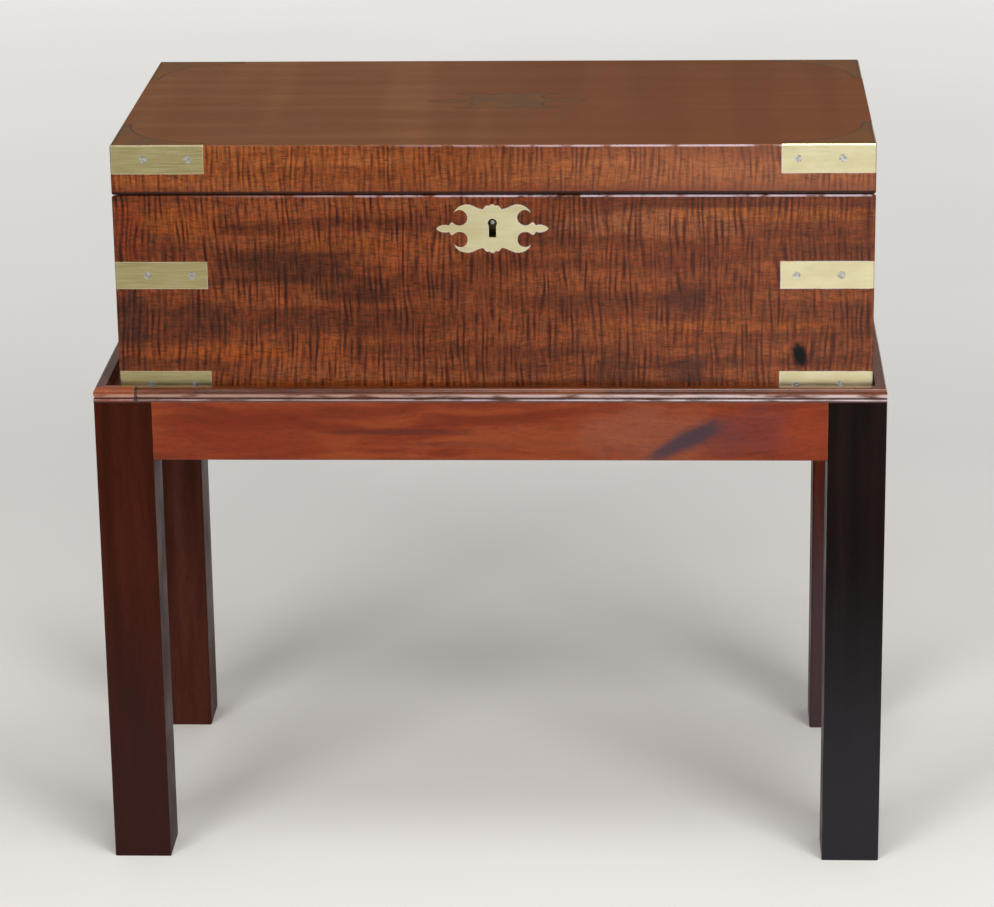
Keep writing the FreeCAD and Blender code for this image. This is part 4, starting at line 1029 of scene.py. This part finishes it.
def tooling_tree():
    """Nodes that draw two lines and a row of lozenges round a rectangle, square to the facing."""
    tree = bpy.data.node_groups.new("gilt_tooling", "GeometryNodeTree")
    for name, kind in (("Points", "NodeSocketGeometry"), ("Width", "NodeSocketFloat"),
                       ("Depth", "NodeSocketFloat"), ("Line Gap", "NodeSocketFloat"),
                       ("Line Radius", "NodeSocketFloat"), ("Stamp Radius", "NodeSocketFloat"),
                       ("Stamp Spacing", "NodeSocketFloat"), ("Gold", "NodeSocketMaterial")):
        tree.interface.new_socket(name=name, in_out="INPUT", socket_type=kind)
    tree.interface.new_socket(name="Border", in_out="OUTPUT", socket_type="NodeSocketGeometry")
    given = tree.nodes.new("NodeGroupInput").outputs

    def rectangle(gaps):
        """The border's rectangle, drawn in by some number of line gaps on each side."""
        sides = [add(tree, "ShaderNodeMath", {0: given["Line Gap"], 1: -2.0 * gaps, 2: given[side]},
                     operation="MULTIPLY_ADD") for side in ("Width", "Depth")]
        return add(tree, "GeometryNodeCurvePrimitiveQuadrilateral", {"Width": sides[0], "Height": sides[1]})

    profile = add(tree, "GeometryNodeCurvePrimitiveCircle",
                  {"Resolution": 6, "Radius": given["Line Radius"]})
    lines = [add(tree, "GeometryNodeCurveToMesh", {"Curve": rectangle(gaps), "Profile Curve": profile})
             for gaps in (0, 1)]
    stops = add(tree, "GeometryNodeResampleCurve",
                {"Curve": rectangle(0.5), "Length": given["Stamp Spacing"]}, mode="LENGTH")
    lozenge = add(tree, "GeometryNodeMeshCone",
                  {"Vertices": 4, "Radius Top": given["Stamp Radius"],
                   "Radius Bottom": given["Stamp Radius"], "Depth": given["Line Radius"]})
    stamps = add(tree, "GeometryNodeInstanceOnPoints", {"Points": stops, "Instance": lozenge})
    border = tree.nodes.new("GeometryNodeJoinGeometry")
    for part in (*lines, stamps):
        tree.links.new(part, border.inputs[0])

    facing = add(tree, "GeometryNodeInputNamedAttribute", {"Name": "facing"}, data_type="FLOAT_VECTOR")
    square = add(tree, "FunctionNodeAlignRotationToVector", {"Vector": facing}, axis="Z")
    placed = add(tree, "GeometryNodeInstanceOnPoints",
                 {"Points": given["Points"], "Instance": border.outputs[0], "Rotation": square})
    solid = add(tree, "GeometryNodeRealizeInstances", {"Geometry": placed})
    painted = add(tree, "GeometryNodeSetMaterial", {"Geometry": solid, "Material": given["Gold"]})
    tree.links.new(painted, tree.nodes.new("NodeGroupOutput").inputs["Border"])
    return tree


gilt_tooling = tooling_tree()
print("nodes in the tooling tree", len(gilt_tooling.nodes))

# %% [markdown]
# ## Gold on the tilted boards
# Each leather lies at the slope of the seam, and the one in the lid hangs upside down while the box
# is shut. The border could be placed by the node's box, but a box knows no tilt. So the face's own
# normal gives the tilt, and its corners, measured along and across that face, give its size. Rubbing
# has thinned the leaf in places, which one noise shows as brown between the glints.

# %% Gilt borders
# Gold leaf: warm glints, dull brown where rubbing has thinned the leaf.
gold_leaf = Finish("gold leaf, rubbed", Metallic=1.0, Roughness=0.32)
thinned = marks(gold_leaf, gold_leaf.place, (9 * MM,) * 3, detail=3.0, low=0.3, high=0.7)
gold_leaf.shade(thinned, "#7A6230", "#DDB860")
gilt_inset = 9 * MM
tooling_sizes = {"Line Gap": 4.4 * MM, "Line Radius": 0.3 * MM, "Stamp Radius": 1.3 * MM,
                 "Stamp Spacing": 4.5 * MM}


def writing_face(node_name, side):
    """Middle, outward direction, width and depth of a leather's upper face (1) or lower face (-1)."""
    mesh = nodes[node_name].data
    faces = [face for face in mesh.polygons if face.normal.z * side > 0.5]
    outward = sum((face.normal * face.area for face in faces), Vector()).normalized()
    points = [mesh.vertices[number].co for face in faces for number in face.vertices]
    across = Vector((1, 0, 0))
    uphill = outward.cross(across)
    wide = [p.dot(across) for p in points]
    deep = [p.dot(uphill) for p in points]
    high = sum(p.dot(outward) for p in points) / len(points)
    middle = (across * (min(wide) + max(wide)) + uphill * (min(deep) + max(deep))) / 2 + outward * high
    return middle, outward, max(wide) - min(wide), max(deep) - min(deep)


for node_name, side in (("upper_leather", 1), ("lower_leather", -1)):
    middle, outward, width, depth = writing_face(node_name, side)
    border = grown(node_name + "_gilt", [(middle, outward)], gilt_tooling,
                   {**tooling_sizes, "Width": width - 2 * gilt_inset, "Depth": depth - 2 * gilt_inset,
                    "Gold": gold_leaf.material})
    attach(border, body_of[node_name])

# %% [markdown]
# ## Round bars
# The bails of the side handles and the lock's pin are round rods. A cylinder can't bend, and a mesh
# bent by hand has kinks. A curve with a round profile draws each one, so that its bends are true.

# %% Rods
roundness = 5


def rod(points, radius):
    """A bar of round section through some points, as a mesh."""
    curve = bpy.data.curves.new("rod", "CURVE")
    curve.dimensions = "3D"
    curve.bevel_depth = radius
    curve.bevel_resolution = roundness
    curve.use_fill_caps = True
    line = curve.splines.new("POLY")
    line.points.add(len(points) - 1)
    for item, point in zip(line.points, points):
        item.co = (*point, 1.0)
    host = bpy.data.objects.new("rod", curve)
    scene.collection.objects.link(host)
    ready = host.evaluated_get(bpy.context.evaluated_depsgraph_get())
    mesh = bpy.data.meshes.new_from_object(ready)
    bpy.data.objects.remove(host)
    return mesh


def joined(name, meshes, finish):
    """Several meshes as one object, shaded as curves."""
    whole = bmesh.new()
    for mesh in meshes:
        whole.from_mesh(mesh)
    return curved(name, whole, finish)


print("sides of a rod", 4 + 2 * roundness)

# %% [markdown]
# ## The bails
# Each side handle is a bail: a bent bar whose two ends carry a boss, from which a pin turns in the
# plate. It lies flush in its pan until a finger lifts it. The bar's middle line is half a rectangle
# with two rounded corners, hung from the pivot that the construction gives.

# %% Bails
bail_half = 33 * MM
bail_drop = 18 * MM
bend = 7 * MM
bend_steps = 12
bar_radius = 2.7 * MM
boss_radius = 3.3 * MM
boss_half_length = Vector((0, 3 * MM, 0))
pin_radius = 1.4 * MM
pin_length = Vector((0, 5.5 * MM, 0))
pivot_below_top = 3.48 * MM

turns = [math.pi / 2 * step / bend_steps for step in range(bend_steps + 1)]
half_path = [(bail_half - bend + bend * math.sin(turn), -bail_drop + bend - bend * math.cos(turn))
             for turn in turns] + [(bail_half, 0)]
path = [Vector((0, -y, z)) for y, z in reversed(half_path)] + [Vector((0, y, z)) for y, z in half_path]
for side in ("left", "right"):
    bail_low, bail_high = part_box("handle_bail_" + side)
    pivot = Vector(((bail_low.x + bail_high.x) / 2, 0, bail_high.z - pivot_below_top))
    parts = [rod([pivot + point for point in path], bar_radius)]
    for end in (-1, 1):
        boss = pivot + Vector((0, end * bail_half, 0))
        parts.append(rod([boss - boss_half_length, boss + boss_half_length], boss_radius))
        parts.append(rod([boss, boss + end * pin_length], pin_radius))
    stand_in(joined("handle_bail_" + side + "_round", parts, fitting_brass), "handle_bail_" + side)

# %% [markdown]
# ## The drill pin
# The key of such a lock is a pipe that slides over a pin. The pin's round end is the first thing that
# shows in the keyhole, so it is turned here as a true round bar on the axis of the keyhole, just
# proud of the lock's own face.

# %% Drill pin
keyhole_rise = 3.9 * MM
pin_proud = 0.3 * MM
drill_pin_length = Vector((0, 6.6 * MM, 0))
drill_pin_radius = 1.5 * MM

# Turned steel, kept bright by the key: a pale dot in the dark keyhole.
pin_steel = steel("drill pin, bright steel", "#74746E", "#A4A49E", 0.3)
plate_low, plate_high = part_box("escutcheon")
pin_front = (plate_low + plate_high) / 2 + Vector((0, 0, keyhole_rise))
pin_front.y = lock_low.y - pin_proud
drill_pin = joined("lock_drill_pin", [rod([pin_front, pin_front + drill_pin_length], drill_pin_radius)],
                   pin_steel)
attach(drill_pin, "box")

# %% [markdown]
# ## Turned caps
# Each inkwell has a brass cap turned on a lathe: a plug that drops into the bore, a flange that
# rests on the glass, and a knob with a waist for the fingers. It could be stacked from cylinders,
# but a profile spun round an upright axis is just how a lathe makes it.

# %% Inkwell caps


def turned(profile, middle, steps=48):
    """A solid of revolution from (radius, height) pairs, bottom to top."""
    mesh = bmesh.new()
    around = [math.tau * step / steps for step in range(steps)]
    rings = [[mesh.verts.new(middle + Vector((radius * math.cos(t), radius * math.sin(t), height)))
              for t in (around if radius else around[:1])] for radius, height in profile]
    for lower, upper in zip(rings, rings[1:]):
        for n in range(steps):
            corners = [lower[n % len(lower)], lower[(n + 1) % len(lower)],
                       upper[(n + 1) % len(upper)], upper[n % len(upper)]]
            mesh.faces.new(list(dict.fromkeys(corners)))
    data = bpy.data.meshes.new("turned")
    mesh.to_mesh(data)
    mesh.free()
    return data


plug = [(0, -4), (14.2, -4), (14.7, -3.5), (14.7, 0)]
flange = [(17.2, 0), (17.6, 0.4), (17.6, 1.9), (17.4, 2.3), (17.0, 2.5)]
waist = [(9.0, 2.5), (7.4, 2.8), (6.8, 3.4), (6.9, 4.0)]
knob = [(7.5, 4.7), (7.8, 5.3), (7.7, 5.9), (7.2, 6.3), (6.2, 6.45), (0, 6.5)]
cap_profile = [(radius * MM, height * MM) for radius, height in plug + flange + waist + knob]
cap_low, cap_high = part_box("inkwell_caps")
cap_reach = (cap_high.y - cap_low.y) / 2
cap_y = (cap_low.y + cap_high.y) / 2
glass_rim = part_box("inkwells")[1].z
caps = [turned(cap_profile, Vector((x, cap_y, glass_rim)))
        for x in (cap_low.x + cap_reach, cap_high.x - cap_reach)]
stand_in(joined("inkwell_caps_turned", caps, fitting_brass), "inkwell_caps")
